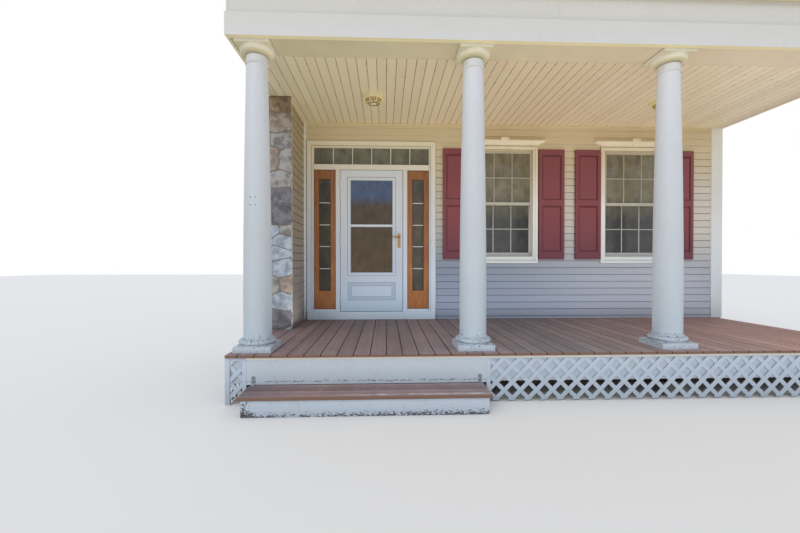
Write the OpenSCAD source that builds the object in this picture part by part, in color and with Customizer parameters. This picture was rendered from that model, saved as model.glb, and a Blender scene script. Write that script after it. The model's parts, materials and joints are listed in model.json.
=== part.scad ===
// Covered front porch with the stretch of house front that it shelters.
// Lengths are in millimetres. Inside the modules x runs along the house front from the
// left edge of the deck, y is 0 on the outer face of the front wall and grows into the
// house, and z is 0 on the ground. place() moves all of it to the middle of its footprint.

/* [Deck and ground] */
// Distance from the middle of the last window to the right edge of the deck
right_margin = 1265; // [1030:5:1800]
// Depth of the deck from the wall to the front edge
deck_depth = 2140; // [1800:10:2600]
// Height of the walking surface above the ground
deck_h = 450; // [380:10:600]
// Thickness of the deck boards
board_t = 25; // [20:1:38]
// How far the deck boards stand out past the skirt
nosing = 30; // [15:1:45]
// How far the side skirts stand back from the deck edge
side_inset = 20; // [16:1:40]
// Thickness of rim boards and joists
joist_t = 38; // [30:1:50]
// Height of rim boards and joists
joist_h = 240; // [180:5:260]
// Distance from one joist to the next
joist_pitch = 460; // [300:10:500]
// Side of the square posts under the columns
pier_post_w = 89; // [70:1:140]
// Side of the square footings under those posts
footing_w = 260; // [200:10:300]
// Height of those footings
footing_h = 120; // [80:5:160]

/* [Columns] */
// Distance from the left deck edge to the middle of the first column
column_inset = 205; // [190:5:320]
// Middle of the first column to middle of the second
bay_1 = 2050; // [1900:5:2400]
// Middle of the second column to middle of the third
bay_2 = 1935; // [1700:5:2200]
// Distance from the right deck edge to the middle of the last column
column_right_inset = 185; // [180:5:320]
// Distance from the front deck edge to the middle of the columns
column_setback = 250; // [230:5:300]
// Diameter of the shaft at its foot
shaft_foot_d = 254; // [220:2:280]
// Diameter of the shaft at its neck
shaft_neck_d = 194; // [170:2:210]
// Side of the square plinth
plinth_w = 340; // [320:5:360]
// Height of the square plinth
plinth_h = 53; // [44:1:80]
// Side of the square abacus at the top
abacus_w = 312; // [290:2:312]
// Height of the square abacus
abacus_h = 37; // [25:1:50]

/* [Ceiling, beam and roof] */
// Height of the ceiling above the deck
ceiling_h = 2842; // [2760:2:3000]
// Thickness of the ceiling lining
ceiling_t = 12; // [9:1:20]
// Width of the boxed front beam
beam_w = 302; // [302:1:330]
// Height of the boxed front beam
beam_h = 280; // [220:10:320]
// Thickness of the built-up lower fascia
fascia_t = 53; // [40:1:60]
// Height of the lower fascia board
fascia_lower_h = 207; // [160:1:230]
// Height of the upper fascia board
fascia_upper_h = 260; // [200:5:300]
// How far the lower fascia hangs below the ceiling
fascia_drop = 10; // [4:1:20]
// How far the lower fascia stands out past the upper one
fascia_step = 25; // [23:1:30]
// How far the lower fascia stands out past the deck on the left
left_overhang = 12; // [5:1:40]
// How far the house front and the roof run on past the deck on the right
right_overhang = 95; // [80:5:200]
// Width of the board that edges the ceiling on the left
left_edge_w = 67; // [50:1:90]
// Distance from the left deck edge to the start of the smooth beam soffit
beam_soffit_x = 356; // [340:2:380]
// Slope of the roof in degrees
roof_pitch = 14; // [8:1:18]
// Thickness of the roof boarding with its covering
roof_t = 30; // [20:1:40]
// How far the roof stands out past the fascia
eave = 30; // [15:1:60]

/* [House front] */
// Thickness of the framed walls
wall_t = 180; // [140:5:240]
// Height of the house front above the deck
wall_h = 3920; // [3890:10:4100]
// Height of the window and door openings above the deck
opening_h = 2515; // [2490:5:2560]
// Thickness of flat trim on the wall
trim_t = 24; // [18:1:30]
// Width of the corner board on the right
corner_board_w = 165; // [120:5:200]
// Width of the corner trim on the left
corner_trim_w = 34; // [20:1:36]
// Distance from the left deck edge to the side wall face
side_wall_x = 230; // [215:5:250]
// How far the side wall reaches out in front of the front wall
side_wall_reach = 865; // [700:5:1000]
// Thickness of the stone facing
stone_t = 60; // [40:5:90]
// Open joint left where two boards of one piece meet
board_joint = 0.5; // [0.3:0.1:2]
// How far the stone facing stands out past the side wall face
stone_lip = 30; // [15:1:45]

/* [Door unit] */
// Distance from the left deck edge to the middle of the door unit
door_x = 1210; // [1195:5:1260]
// Width of the doorway between its two posts
doorway_w = 915; // [880:5:925]
// Width of the posts between the doorway and the sidelights
mullion_w = 62; // [50:1:70]
// Width of each sidelight
sidelight_w = 315; // [290:1:320]
// Thickness of the side and head jambs
jamb_t = 28; // [20:1:32]
// Depth of jambs and posts through the wall
jamb_depth = 170; // [150:5:190]
// Width of the flat casing around the door unit
casing_w = 92; // [70:1:95]
// Height of the sill under the doors
sill_h = 110; // [90:1:130]
// Height of the white strip under each sidelight
sill_strip_h = 36; // [20:1:50]
// Height of the underside of the transom bar above the deck
transom_bar_z = 2168; // [2140:2:2200]
// Height of the transom bar
transom_bar_h = 76; // [60:1:90]
// Width of the sidelight stiles
sidelight_stile = 80; // [60:1:95]
// Height of the sidelight bottom rail
sidelight_rail = 274; // [220:2:320]
// Height of the sidelight top rail
sidelight_top_rail = 140; // [110:5:180]
// Thickness of the sidelight frames
sidelight_t = 40; // [32:1:45]
// Thickness of every sheet of glass
glass_t = 6; // [4:1:10]

/* [Storm door] */
// Thickness of the storm door leaf
storm_t = 38; // [30:1:42]
// Gap between the storm door leaf and what surrounds it
storm_gap = 6; // [5.5:0.5:8]
// Width of the storm door stiles
storm_stile = 146; // [120:2:170]
// Height of the storm door top rail
storm_top_rail = 145; // [110:5:180]
// Height of the glass opening above the foot of the leaf
storm_glass_z = 562; // [520:2:640]
// Height of the bar that crosses the glass
storm_bar_h = 36; // [24:1:50]
// Width of the moulding around the glass
storm_moulding = 40; // [20:1:50]
// Diameter of the hinge knuckles
knuckle_d = 12; // [10:0.5:14]
// Length of one hinge
hinge_len = 90; // [60:2:120]

/* [Entry door] */
// Thickness of the entry door leaf
entry_t = 44; // [38:1:48]
// Gap between the entry door leaf and what surrounds it
entry_gap = 6; // [5.5:0.5:8]
// Distance from the wall face to the front of the entry door
entry_setback = 126; // [115:1:130]

/* [Windows and shutters] */
// Distance from the left deck edge to the middle of the first window
window_1_x = 3150; // [3120:5:3200]
// Distance from the first window's middle to the second's
window_pitch = 1965; // [1900:5:2050]
// Width of the wall opening for a window
window_w = 910; // [860:5:940]
// Height of the bottom of the window opening above the deck
window_z = 890; // [860:5:920]
// How far the outside casing reaches past the opening at each side
window_casing_lap = 52; // [40:1:60]
// Width of the raised outer band of that casing
window_band_w = 35; // [28:1:42]
// How far the outside casing stands out from the wall
window_casing_t = 28; // [20:1:34]
// Width of the visible window frame inside the opening
window_frame_w = 26; // [20:1:36]
// Visible width of the sash stiles
sash_w = 26; // [22:1:40]
// Height of the sash top and meeting rails
sash_rail = 40; // [32:1:50]
// How far the lower sash stands behind the upper one
sash_offset = 48; // [36:1:60]
// Thickness of each sash
sash_t = 30; // [24:1:34]
// Height of the bottom rail of the lower sash
sash_foot = 56; // [46:1:70]
// Height of the crosshead over a window
crosshead_h = 72; // [60:1:90]
// How far the crosshead reaches past the casing at its top
crosshead_reach = 100; // [80:1:110]
// Thickness of the cap strip on the crosshead
crosshead_cap_h = 16; // [10:1:24]
// Width of the keystone at its top
keystone_w = 116; // [100:1:130]
// Width of each shutter
shutter_w = 381; // [350:1:410]
// Height of each shutter
shutter_h = 1616; // [1580:1:1650]
// Thickness of each shutter
shutter_t = 42; // [34:1:50]
// Gap between a window casing and its shutters
shutter_gap = 11; // [6:1:20]

/* [Skirt and step] */
// Width of a lattice slat
slat_w = 38; // [28:1:45]
// Thickness of a lattice slat
slat_t = 8; // [6:1:10]
// Distance between slats, measured square to them
slat_pitch = 106; // [90:1:130]
// Height of the lattice foot above the ground
lattice_foot = 10; // [6:1:40]
// Height of the foot of the small lattice left of the step
left_lattice_foot = 40; // [10:5:80]
// Height of the rail along the top of the lattice
skirt_rail_h = 32; // [24:1:50]
// Width of the corner posts of the skirt
skirt_post_w = 42; // [30:1:60]
// Width of the upright battens beside the step
batten_w = 37; // [25:1:50]
// Thickness of those battens and of the upper riser
riser_t = 20; // [16:1:25]
// Distance from the left deck edge to the upper riser board
riser_x = 176; // [160:2:200]
// Width of the upper riser board
riser_w = 2155; // [2100:5:2300]
// Height of the tread above the ground
tread_h = 180; // [150:5:220]
// Width of one tread board
tread_board_w = 150; // [120:1:160]
// Thickness of the tread boards
tread_t = 33; // [25:1:40]
// Gap between tread boards, and behind them
tread_gap = 8; // [4:1:20]
// Length of the treads
tread_len = 2090; // [2050:5:2130]
// How far the treads stand out in front of the step frame
tread_nosing = 35; // [10:1:45]
// How far the treads stand out past the step frame at each end
tread_end = 20; // [5:1:40]
// Width of the steel straps on the step
strap_w = 35; // [25:1:45]

/* [Lanterns] */
// Distance from the left deck edge to the first lantern
lantern_x = 1266; // [1150:2:1350]
// Distance between the two lanterns
lantern_pitch = 3600; // [3400:10:3700]
// Distance from the front wall to the lanterns
lantern_y = 910; // [800:5:1050]
// Width of the octagonal canopy across its corners
canopy_d = 262; // [240:2:300]
// Height of the canopy
canopy_h = 50; // [40:1:56]
// Width of the octagonal cage across its corners at its foot
cage_d = 190; // [170:2:210]
// Height of the whole lantern
lantern_h = 100; // [88:1:130]

/* [Hidden] */

$fn = 64;
// Overlap that makes sure a cut goes right through
cut = 2;

// Middle lines of the windows, and the width of the deck along the house front
window_x = [window_1_x, window_1_x + window_pitch];
deck_w = window_x[1] + right_margin;

// Outermost lines of the footprint
left_end = -left_overhang;
right_end = deck_w + right_overhang;
front_end = -(deck_depth - nosing + 2 * (tread_board_w + tread_gap));
knob_reach = 58;
back_end = entry_setback + entry_t + knob_reach;

// Deck and skirt
deck_z = deck_h;
joist_top = deck_z - board_t;
rim_front_y = -(deck_depth - nosing - riser_t);
side_face_y = -side_wall_reach;
side_core_y = side_face_y + stone_t;
rim_side_left = side_inset;
rim_side_right = deck_w - side_inset;

// Columns
column_y = -(deck_depth - column_setback);
column_x = [column_inset, column_inset + bay_1, column_inset + bay_1 + bay_2,
            deck_w - column_right_inset];
column_h = ceiling_h;

// Ceiling, beam and roof
ceiling_z = deck_z + ceiling_h;
abacus_show = 10.5;
beam_rear_y = column_y + abacus_w / 2 - abacus_show;
beam_front_y = beam_rear_y - beam_w;
fascia_front_y = beam_front_y - fascia_t;
beam_left = left_end + fascia_step + 2;
beam_right = right_end - fascia_step;
right_joint = 6;
cheek_t = 22;
fascia_z = ceiling_z - fascia_drop;
fascia_mid_z = fascia_z + fascia_lower_h;
fascia_top_z = fascia_mid_z + fascia_upper_h;
roof_front_y = fascia_front_y - eave;
roof_rise = tan(roof_pitch);
// Underside of the roof at its front edge, so that it rests on the upper fascia
roof_base_z = fascia_top_z - (eave + fascia_step) * roof_rise;
wall_top_z = deck_z + wall_h;

// Door unit
unit_w = doorway_w + 2 * (mullion_w + sidelight_w);
unit_left = door_x - unit_w / 2;
unit_right = door_x + unit_w / 2;
door_left = door_x - doorway_w / 2;
door_right = door_x + doorway_w / 2;
head_z = deck_z + opening_h;
post_front_y = -20;
sill_z = deck_z + sill_h;
bar_z = deck_z + transom_bar_z;
storm_front_y = post_front_y - 2;
storm_z = sill_z + storm_gap;
storm_h = bar_z - storm_gap - storm_z;
storm_x = door_left + storm_gap;
storm_w = doorway_w - 2 * storm_gap - 1;
hinge_x = storm_x - storm_gap / 2;
storm_hinge_y = storm_front_y - knuckle_d / 2;
entry_x = door_left + entry_gap;
entry_z = sill_z + entry_gap;
entry_w = doorway_w - 2 * entry_gap - 1;
entry_h = bar_z - entry_gap - entry_z;
entry_back_y = entry_setback + entry_t;
entry_hinge_y = entry_back_y + knuckle_d / 2;
hinge_z = [storm_z + 160, storm_z + storm_h / 2 - hinge_len / 2, storm_z + storm_h - 250];

// Windows
opening_z = deck_z + window_z;
meeting_z = deck_z + (window_z + opening_h) / 2 - 6;

module place() {
    translate([-(left_end + right_end) / 2, -(front_end + back_end) / 2, 0]) children();
}

// A block between two opposite corners
module block(x0, x1, y0, y1, z0, z1) {
    translate([x0, y0, z0]) cube([x1 - x0, y1 - y0, z1 - z0]);
}

// Two stiles with a top and a bottom rail between them
module joined_ring(w, h, t, stile, foot, top) {
    rail_w = w - 2 * stile - 2 * board_joint;
    for (x = [0, w - stile])
        translate([x, 0, 0]) cube([stile, t, h]);
    for (r = [[0, foot], [h - top, top]])
        translate([stile + board_joint, 0, r[0]]) cube([rail_w, t, r[1]]);
}

// A frame in the x-z plane, w wide and h high outside, with a window cut in it
module ring(w, h, t, left, right, foot, top) {
    difference() {
        cube([w, t, h]);
        translate([left, -cut, foot]) cube([w - left - right, t + 2 * cut, h - foot - top]);
    }
}

module foundation() {
    color("gray") place()
        block(side_wall_x, right_end, 0, wall_t, 0, deck_z);
}

module wall_door_piers() {
    color("tan") place() {
        block(side_wall_x, unit_left - jamb_t, 0, wall_t, deck_z, head_z);
        block(unit_right + jamb_t, window_x[0] - window_w / 2, 0, wall_t, deck_z, head_z);
    }
}

module wall_window_piers() {
    color("tan") place() {
        block(window_x[0] + window_w / 2, window_x[1] - window_w / 2, 0, wall_t, opening_z, head_z);
        block(window_x[1] + window_w / 2, right_end, 0, wall_t, opening_z, head_z);
    }
}

module wall_apron() {
    color("tan") place()
        block(window_x[0] - window_w / 2, right_end, 0, wall_t, deck_z, opening_z);
}

module wall_header() {
    color("tan") place()
        block(side_wall_x, right_end, 0, wall_t, head_z, wall_top_z);
}

// Framed side wall that the left end of the porch runs into
module house_corner_wall() {
    color("tan") place()
        block(left_end, side_wall_x, side_core_y, wall_t, 0, wall_top_z);
}

module stone_veneer() {
    color("slategray") place()
        block(left_end, side_wall_x + stone_lip, side_face_y, side_core_y, 0, wall_top_z);
}

module corner_boards() {
    color("white") place() {
        block(right_end - corner_board_w, right_end, -trim_t, 0, deck_z, ceiling_z);
        block(side_wall_x, side_wall_x + corner_trim_w, -trim_t, 0, deck_z, ceiling_z);
    }
}

// Plan of a sheet that fills the porch between two lines and stops at the side wall
module porch_plan(x0, x1, y0, corner_x) {
    polygon([[x0, y0], [x1, y0], [x1, 0], [corner_x, 0], [corner_x, side_core_y],
             [side_wall_x + stone_lip, side_core_y], [side_wall_x + stone_lip, side_face_y],
             [x0, side_face_y]]);
}

module deck_floor() {
    color("rosybrown") place()
        translate([0, 0, joist_top]) linear_extrude(board_t)
            porch_plan(0, deck_w, -deck_depth, side_wall_x);
}

module rim_joists() {
    side_y = rim_front_y + joist_t + board_joint;
    color("white") place() {
        block(rim_side_left, rim_side_right, rim_front_y, rim_front_y + joist_t,
              joist_top - joist_h, joist_top);
        block(rim_side_left, rim_side_left + joist_t, side_y, side_face_y,
              joist_top - joist_h, joist_top);
        block(rim_side_right - joist_t, rim_side_right, side_y, 0,
              joist_top - joist_h, joist_top);
    }
}

// Rows of joists from the house wall forward; those in front of the side wall are longer
module floor_joists() {
    rows = floor((-column_y - pier_post_w / 2 - 2 * joist_t) / joist_pitch);
    color("burlywood") place()
        for (k = [0 : rows]) {
            y = -joist_t - k * joist_pitch;
            left = y + joist_t < side_face_y ? rim_side_left + joist_t
                                             : side_wall_x + stone_lip;
            block(left, rim_side_right - joist_t, y, y + joist_t,
                  joist_top - joist_h, joist_top);
        }
}

module pier_posts() {
    half = pier_post_w / 2;
    color("burlywood") place()
        for (x = column_x)
            block(x - half, x + half, column_y - half, column_y + half, footing_h, joist_top);
}

module pier_footings() {
    half = footing_w / 2;
    color("darkgray") place()
        for (x = column_x)
            block(x - half, x + half, column_y - half, column_y + half, 0, footing_h);
}

// Slats at 45 degrees in two layers, w wide and h high, fused where they cross.
// Two of them cross at the point x, z of the panel.
module lattice_panel(w, h, x, z) {
    step = slat_pitch * sqrt(2);
    long = (w + h) * sqrt(2);
    lap = 1;
    rising = (x - z + h + step) % step - h - step;
    falling = (x + z + step) % step - step;
    intersection() {
        cube([w, 2 * slat_t - lap, h]);
        union() {
            for (c = [rising : step : w + slat_w])
                translate([c, 0, 0]) rotate([0, -45, 0])
                    translate([-long / 2, 0, -slat_w / 2]) cube([2 * long, slat_t, slat_w]);
            for (c = [falling : step : w + h + slat_w])
                translate([c, slat_t - lap, 0]) rotate([0, -135, 0])
                    translate([-long / 2, 0, -slat_w / 2]) cube([2 * long, slat_t, slat_w]);
        }
    }
}

lattice_t = 2 * slat_t - 1;
riser_right = riser_x + riser_w;
riser_face_y = rim_front_y - riser_t;

// A stretch of front skirt: lattice and a top rail between two uprights that reach the ground
module front_skirt(x0, w0, x1, w1, foot, cross_x, cross_z) {
    lap = 2;
    block(x0, x0 + w0, riser_face_y, rim_front_y, 0, joist_top);
    block(x1 - w1, x1, riser_face_y, rim_front_y, 0, joist_top);
    block(x0 + w0 - lap, x1 - w1 + lap, riser_face_y + 1, rim_front_y,
          joist_top - skirt_rail_h, joist_top);
    translate([x0 + w0 - lap, rim_front_y - lattice_t, foot])
        lattice_panel(x1 - w1 - x0 - w0 + 2 * lap, joist_top - foot,
                      cross_x - x0 - w0 + lap, cross_z - foot);
}

module lattice_left() {
    color("whitesmoke") place()
        front_skirt(left_end, skirt_post_w, riser_x, batten_w, left_lattice_foot,
                    riser_x - batten_w - 50, 130);
}

module lattice_front() {
    color("whitesmoke") place()
        front_skirt(riser_right, batten_w, deck_w, skirt_post_w, lattice_foot,
                    riser_right + 89, 175);
}

// The side skirts run back from the corner posts to the house
module lattice_left_end() {
    color("whitesmoke") place()
        translate([rim_side_left, rim_front_y, lattice_foot]) rotate([0, 0, 90])
            lattice_panel(side_face_y - rim_front_y, joist_top - lattice_foot,
                          slat_pitch / 2, joist_top / 2 - lattice_foot);
}

module lattice_right_end() {
    color("whitesmoke") place()
        translate([rim_side_right + lattice_t, rim_front_y, lattice_foot]) rotate([0, 0, 90])
            lattice_panel(-rim_front_y, joist_top - lattice_foot,
                          slat_pitch / 2, joist_top / 2 - lattice_foot);
}

module step_upper_riser() {
    color("white") place()
        block(riser_x, riser_right, rim_front_y - riser_t, rim_front_y, tread_h, joist_top);
}

tread_x = riser_x + (riser_w - tread_len) / 2;

module step_treads() {
    color("rosybrown") place()
        for (i = [1, 2])
            block(tread_x, tread_x + tread_len,
                  riser_face_y - i * (tread_board_w + tread_gap),
                  riser_face_y - i * (tread_board_w + tread_gap) + tread_board_w,
                  tread_h - tread_t, tread_h);
}

// Box under the treads: a face board and four bearers
module step_frame() {
    frame_left = tread_x + tread_end;
    frame_right = tread_x + tread_len - tread_end;
    face_y = front_end + tread_nosing;
    frame_top = tread_h - tread_t;
    gap = (frame_right - frame_left - joist_t) / 3;
    color("white") place() {
        block(frame_left, frame_right, face_y, face_y + joist_t, 0, frame_top);
        for (i = [0 : 3])
            block(frame_left + i * gap, frame_left + i * gap + joist_t,
                  face_y + joist_t + board_joint, riser_face_y, 0, frame_top);
    }
}

// Angle straps that tie the treads to the upper riser
module step_straps() {
    strap_t = 3;
    strap_up = 78;
    strap_out = 36;
    from_end = 12;
    color("silver") place()
        for (x = [tread_x + from_end, tread_x + tread_len - strap_w - from_end]) {
            block(x, x + strap_w, riser_face_y - strap_t, riser_face_y,
                  tread_h, tread_h + strap_up);
            block(x, x + strap_w, riser_face_y - strap_out, riser_face_y,
                  tread_h, tread_h + strap_t);
        }
}

// Round column: plinth, base ring and moulding, shaft with a slight swell, neck ring, cap
module column(i) {
    foot_r = shaft_foot_d / 2;
    neck_r = shaft_neck_d / 2;
    torus_r = plinth_w / 2 - 1;
    base_ring_h = 9;
    torus_z = plinth_h + base_ring_h;
    torus_h = 44;
    fillet_h = 18;
    cap_r = abacus_w / 2 - 1;
    echinus_h = 52;
    neck_h = 92;
    ring_h = 16;
    shaft_z = torus_z + torus_h + fillet_h;
    neck_z = column_h - abacus_h - echinus_h - neck_h;
    swell = [for (s = [0 : 10])
        let (t = s / 10, k = t < 0.15 ? 0 : (t - 0.15) / 0.85)
        [foot_r - (foot_r - neck_r) * k * k * (1.5 - 0.5 * k), shaft_z + (neck_z - shaft_z) * t]];
    torus = [for (a = [-90 : 15 : 90])
        [torus_r - torus_h / 2 + torus_h / 2 * cos(a), torus_z + torus_h / 2 * (1 + sin(a))]];
    ovolo = [for (a = [0 : 15 : 90])
        [neck_r + 8 + (cap_r - neck_r - 8) * sin(a),
         column_h - abacus_h - echinus_h * cos(a)]];
    color("white") place()
        translate([column_x[i], column_y, deck_z]) {
            translate([-plinth_w / 2, -plinth_w / 2, 0]) cube([plinth_w, plinth_w, plinth_h]);
            translate([-abacus_w / 2, -abacus_w / 2, column_h - abacus_h])
                cube([abacus_w, abacus_w, abacus_h]);
            rotate_extrude($fn = 96)
                polygon(concat(
                    [[0, plinth_h], [torus_r - 5, plinth_h], [torus_r - 5, torus_z]], torus,
                    [[foot_r + 14, torus_z + torus_h], [foot_r + 14, torus_z + torus_h + 8],
                     [foot_r + 5, torus_z + torus_h + fillet_h - 4]],
                    swell,
                    [[neck_r + 6, neck_z], [neck_r + 9, neck_z + ring_h / 2],
                     [neck_r + 6, neck_z + ring_h], [neck_r, neck_z + ring_h],
                     [neck_r, column_h - abacus_h - echinus_h - 8],
                     [neck_r + 8, column_h - abacus_h - echinus_h - 8]],
                    ovolo,
                    [[0, column_h - abacus_h]]));
        }
}

// The ceiling boards run under the left end of the beam, so it is notched there
module front_beam() {
    color("tan") place()
        difference() {
            block(beam_left, beam_right, beam_front_y, beam_rear_y,
                  ceiling_z, ceiling_z + beam_h);
            block(beam_left + left_edge_w, beam_soffit_x, beam_front_y - cut, beam_rear_y + cut,
                  ceiling_z - cut, ceiling_z + ceiling_t);
        }
}

module end_beams() {
    color("tan") place() {
        block(beam_left, beam_left + left_edge_w, beam_rear_y, side_face_y,
              ceiling_z, ceiling_z + beam_h);
        block(deck_w + right_joint, beam_right, beam_rear_y, 0, ceiling_z, ceiling_z + beam_h);
    }
}

// Lower fascia board, carried round both ends of the roof
module fascia_lower() {
    return_y = beam_front_y + board_joint;
    color("whitesmoke") place() {
        block(left_end, right_end, fascia_front_y, beam_front_y, fascia_z, fascia_mid_z);
        block(left_end, beam_left, return_y, side_face_y, fascia_z, fascia_mid_z);
        block(beam_right, right_end, return_y, -trim_t, fascia_z, fascia_mid_z);
    }
}

module fascia_upper() {
    color("whitesmoke") place()
        block(beam_left, beam_right, fascia_front_y + fascia_step, beam_front_y,
              fascia_mid_z, fascia_top_z);
}

module ceiling() {
    color("wheat") place()
        translate([0, 0, ceiling_z]) linear_extrude(ceiling_t) {
            porch_plan(beam_left + left_edge_w, deck_w, beam_rear_y, side_wall_x);
            translate([beam_left + left_edge_w, beam_front_y])
                square([beam_soffit_x - beam_left - left_edge_w, beam_w + 1]);
        }
}

// Height of the roof's underside above the line y
function roof_under(y) = roof_base_z + (y - roof_front_y) * roof_rise;

// Sloped roof: a long wedge of even thickness, trimmed to the plan of the porch
module roof() {
    length = right_end - left_end + 2 * cut;
    color("dimgray") place()
        intersection() {
            translate([left_end - cut, 0, 0]) rotate([90, 0, 90]) linear_extrude(length)
                polygon([[roof_front_y, roof_base_z], [0, roof_under(0)],
                         [0, roof_under(0) + roof_t], [roof_front_y, roof_base_z + roof_t]]);
            linear_extrude(wall_top_z + 1000)
                porch_plan(left_end, right_end, roof_front_y, side_wall_x);
        }
}

// A board in the y-z plane from the lower fascia up to the roof, running back to the line y_back
module roof_cheek(y_back) {
    y_front = fascia_front_y + fascia_step;
    rotate([90, 0, 90]) linear_extrude(cheek_t)
        polygon([[y_front, fascia_mid_z], [y_back, fascia_mid_z], [y_back, roof_under(y_back)],
                 [y_front, roof_under(y_front)]]);
}

// Boards that close the roof space at both ends and stand on the returned lower fascia
module roof_cheeks() {
    color("whitesmoke") place() {
        translate([beam_left - cheek_t, 0, 0]) roof_cheek(side_face_y);
        translate([beam_right, 0, 0]) roof_cheek(0);
    }
}

module at_lanterns() {
    for (i = [0, 1])
        translate([lantern_x + i * lantern_pitch, -lantern_y, ceiling_z])
            rotate([0, 0, 22.5]) children();
}

lantern_rim = 8;
cage_top_d = canopy_d - 18;

// Octagonal ceiling lantern: canopy, a tapered cage of eight bars, foot ring with spokes
module lanterns() {
    bar_w = 8;
    sink = 2;
    hub_d = 54;
    lean = atan2((cage_top_d - cage_d) / 2, lantern_h - canopy_h);
    bar_len = (lantern_h - canopy_h) / cos(lean) - 1;
    color("cornsilk") place() at_lanterns() {
        translate([0, 0, -canopy_h])
            cylinder(d1 = canopy_d - 10, d2 = canopy_d, h = canopy_h, $fn = 8);
        for (a = [0 : 45 : 315])
            rotate([0, 0, a]) {
                translate([cage_top_d / 2 - bar_w, -bar_w / 2, -canopy_h + sink])
                    rotate([0, 180 + lean, 0]) translate([-bar_w, 0, 0])
                        cube([bar_w, bar_w, bar_len + sink]);
                translate([hub_d / 2 - 4, -3, -lantern_h])
                    cube([(cage_d - hub_d) / 2 - 2, 6, lantern_rim]);
            }
        translate([0, 0, -lantern_h]) difference() {
            cylinder(d = cage_d, h = lantern_rim, $fn = 8);
            translate([0, 0, -cut]) cylinder(d = cage_d - 20, h = lantern_rim + 2 * cut, $fn = 8);
        }
        translate([0, 0, -lantern_h]) cylinder(d = hub_d, h = lantern_rim, $fn = 8);
    }
}

// Cloudy glass bowl inside the cage
module lantern_glass() {
    pane_t = 4;
    inset = 24;
    pane_h = lantern_h - canopy_h - lantern_rim;
    color("lightyellow") place() at_lanterns()
        translate([0, 0, -lantern_h + lantern_rim])
            difference() {
                cylinder(d1 = cage_d - inset, d2 = cage_top_d - inset, h = pane_h, $fn = 8);
                translate([0, 0, pane_t])
                    cylinder(d1 = cage_d - inset - 2 * pane_t, d2 = cage_top_d - inset - 2 * pane_t,
                             h = pane_h + cut, $fn = 8);
            }
}

// Two side jambs and the two posts beside the doorway
module door_posts() {
    color("white") place() {
        for (x = [unit_left - jamb_t, unit_right])
            block(x, x + jamb_t, 0, jamb_depth, sill_z, head_z);
        for (x = [door_left - mullion_w, door_right])
            block(x, x + mullion_w, post_front_y, jamb_depth, sill_z, bar_z);
    }
}

// Head jamb and the bar under the transom
module door_bars() {
    color("white") place() {
        block(unit_left, unit_right, 0, jamb_depth, head_z - jamb_t, head_z);
        block(unit_left, unit_right, post_front_y, jamb_depth, bar_z, bar_z + transom_bar_h);
    }
}

module door_casing() {
    reveal = 6;
    inner = unit_w / 2 + reveal;
    head = head_z - jamb_t + reveal;
    color("white") place() {
        for (x = [door_x - inner - casing_w, door_x + inner])
            block(x, x + casing_w, -trim_t, 0, sill_z, head - board_joint);
        block(door_x - inner - casing_w, door_x + inner + casing_w, -trim_t, 0,
              head, head + casing_w);
    }
}

// Sill of the whole unit, with a raised strip under each sidelight
module door_sill() {
    sill_reach = 46;
    half = unit_w / 2 + casing_w;
    color("lightgray") place() {
        block(door_x - half, door_x + half, -sill_reach, 0, deck_z, sill_z);
        block(unit_left - jamb_t, unit_right + jamb_t, 0, wall_t, deck_z, sill_z);
        for (x = [unit_left, door_right + mullion_w])
            block(x, x + sidelight_w, -8, sidelight_t, sill_z, sill_z + sill_strip_h);
    }
}

// Wood frames of the sidelights
module sidelights() {
    foot_z = sill_z + sill_strip_h;
    color("sienna") place()
        for (x = [unit_left, door_right + mullion_w])
            translate([x, 0, foot_z])
                joined_ring(sidelight_w, bar_z - foot_z, sidelight_t, sidelight_stile,
                            sidelight_rail, sidelight_top_rail);
}

module door_unit_glass() {
    pane_y = (sidelight_t - glass_t) / 2;
    color("lightblue", 0.4) place() {
        for (x = [unit_left, door_right + mullion_w])
            block(x + sidelight_stile, x + sidelight_w - sidelight_stile,
                  pane_y, pane_y + glass_t,
                  sill_z + sill_strip_h + sidelight_rail, bar_z - sidelight_top_rail);
        block(unit_left, unit_right, pane_y, pane_y + glass_t,
              bar_z + transom_bar_h, head_z - jamb_t);
    }
}

// Storm door leaf: glazed above, one raised panel below, a bar across the glass
module storm_door() {
    glass_top = storm_h - storm_top_rail;
    bar_at = 1225;
    pocket = 8;
    panel_x = 105;
    panel_z0 = 160;
    panel_z1 = 420;
    field = 55;
    color("lightsteelblue") place()
        translate([storm_x, storm_front_y, storm_z]) {
            difference() {
                ring(storm_w, storm_h, storm_t, storm_stile, storm_stile,
                     storm_glass_z, storm_top_rail);
                translate([panel_x, -cut, panel_z0])
                    cube([storm_w - 2 * panel_x, pocket + cut, panel_z1 - panel_z0]);
            }
            translate([panel_x + field, pocket / 2, panel_z0 + field])
                cube([storm_w - 2 * panel_x - 2 * field, pocket, panel_z1 - panel_z0 - 2 * field]);
            translate([storm_stile - 1, 4, bar_at])
                cube([storm_w - 2 * storm_stile + 2, 10, storm_bar_h]);
            // Moulding proud of the face round the glass
            translate([storm_stile - storm_moulding, -4, storm_glass_z - storm_moulding])
                ring(storm_w - 2 * storm_stile + 2 * storm_moulding,
                     glass_top - storm_glass_z + 2 * storm_moulding, 5,
                     storm_moulding, storm_moulding, storm_moulding, storm_moulding);
        }
}

module storm_glass() {
    color("lightblue", 0.4) place()
        translate([storm_x + storm_stile, storm_front_y + 14, storm_z + storm_glass_z])
            cube([storm_w - 2 * storm_stile, glass_t, storm_h - storm_top_rail - storm_glass_z]);
}

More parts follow.
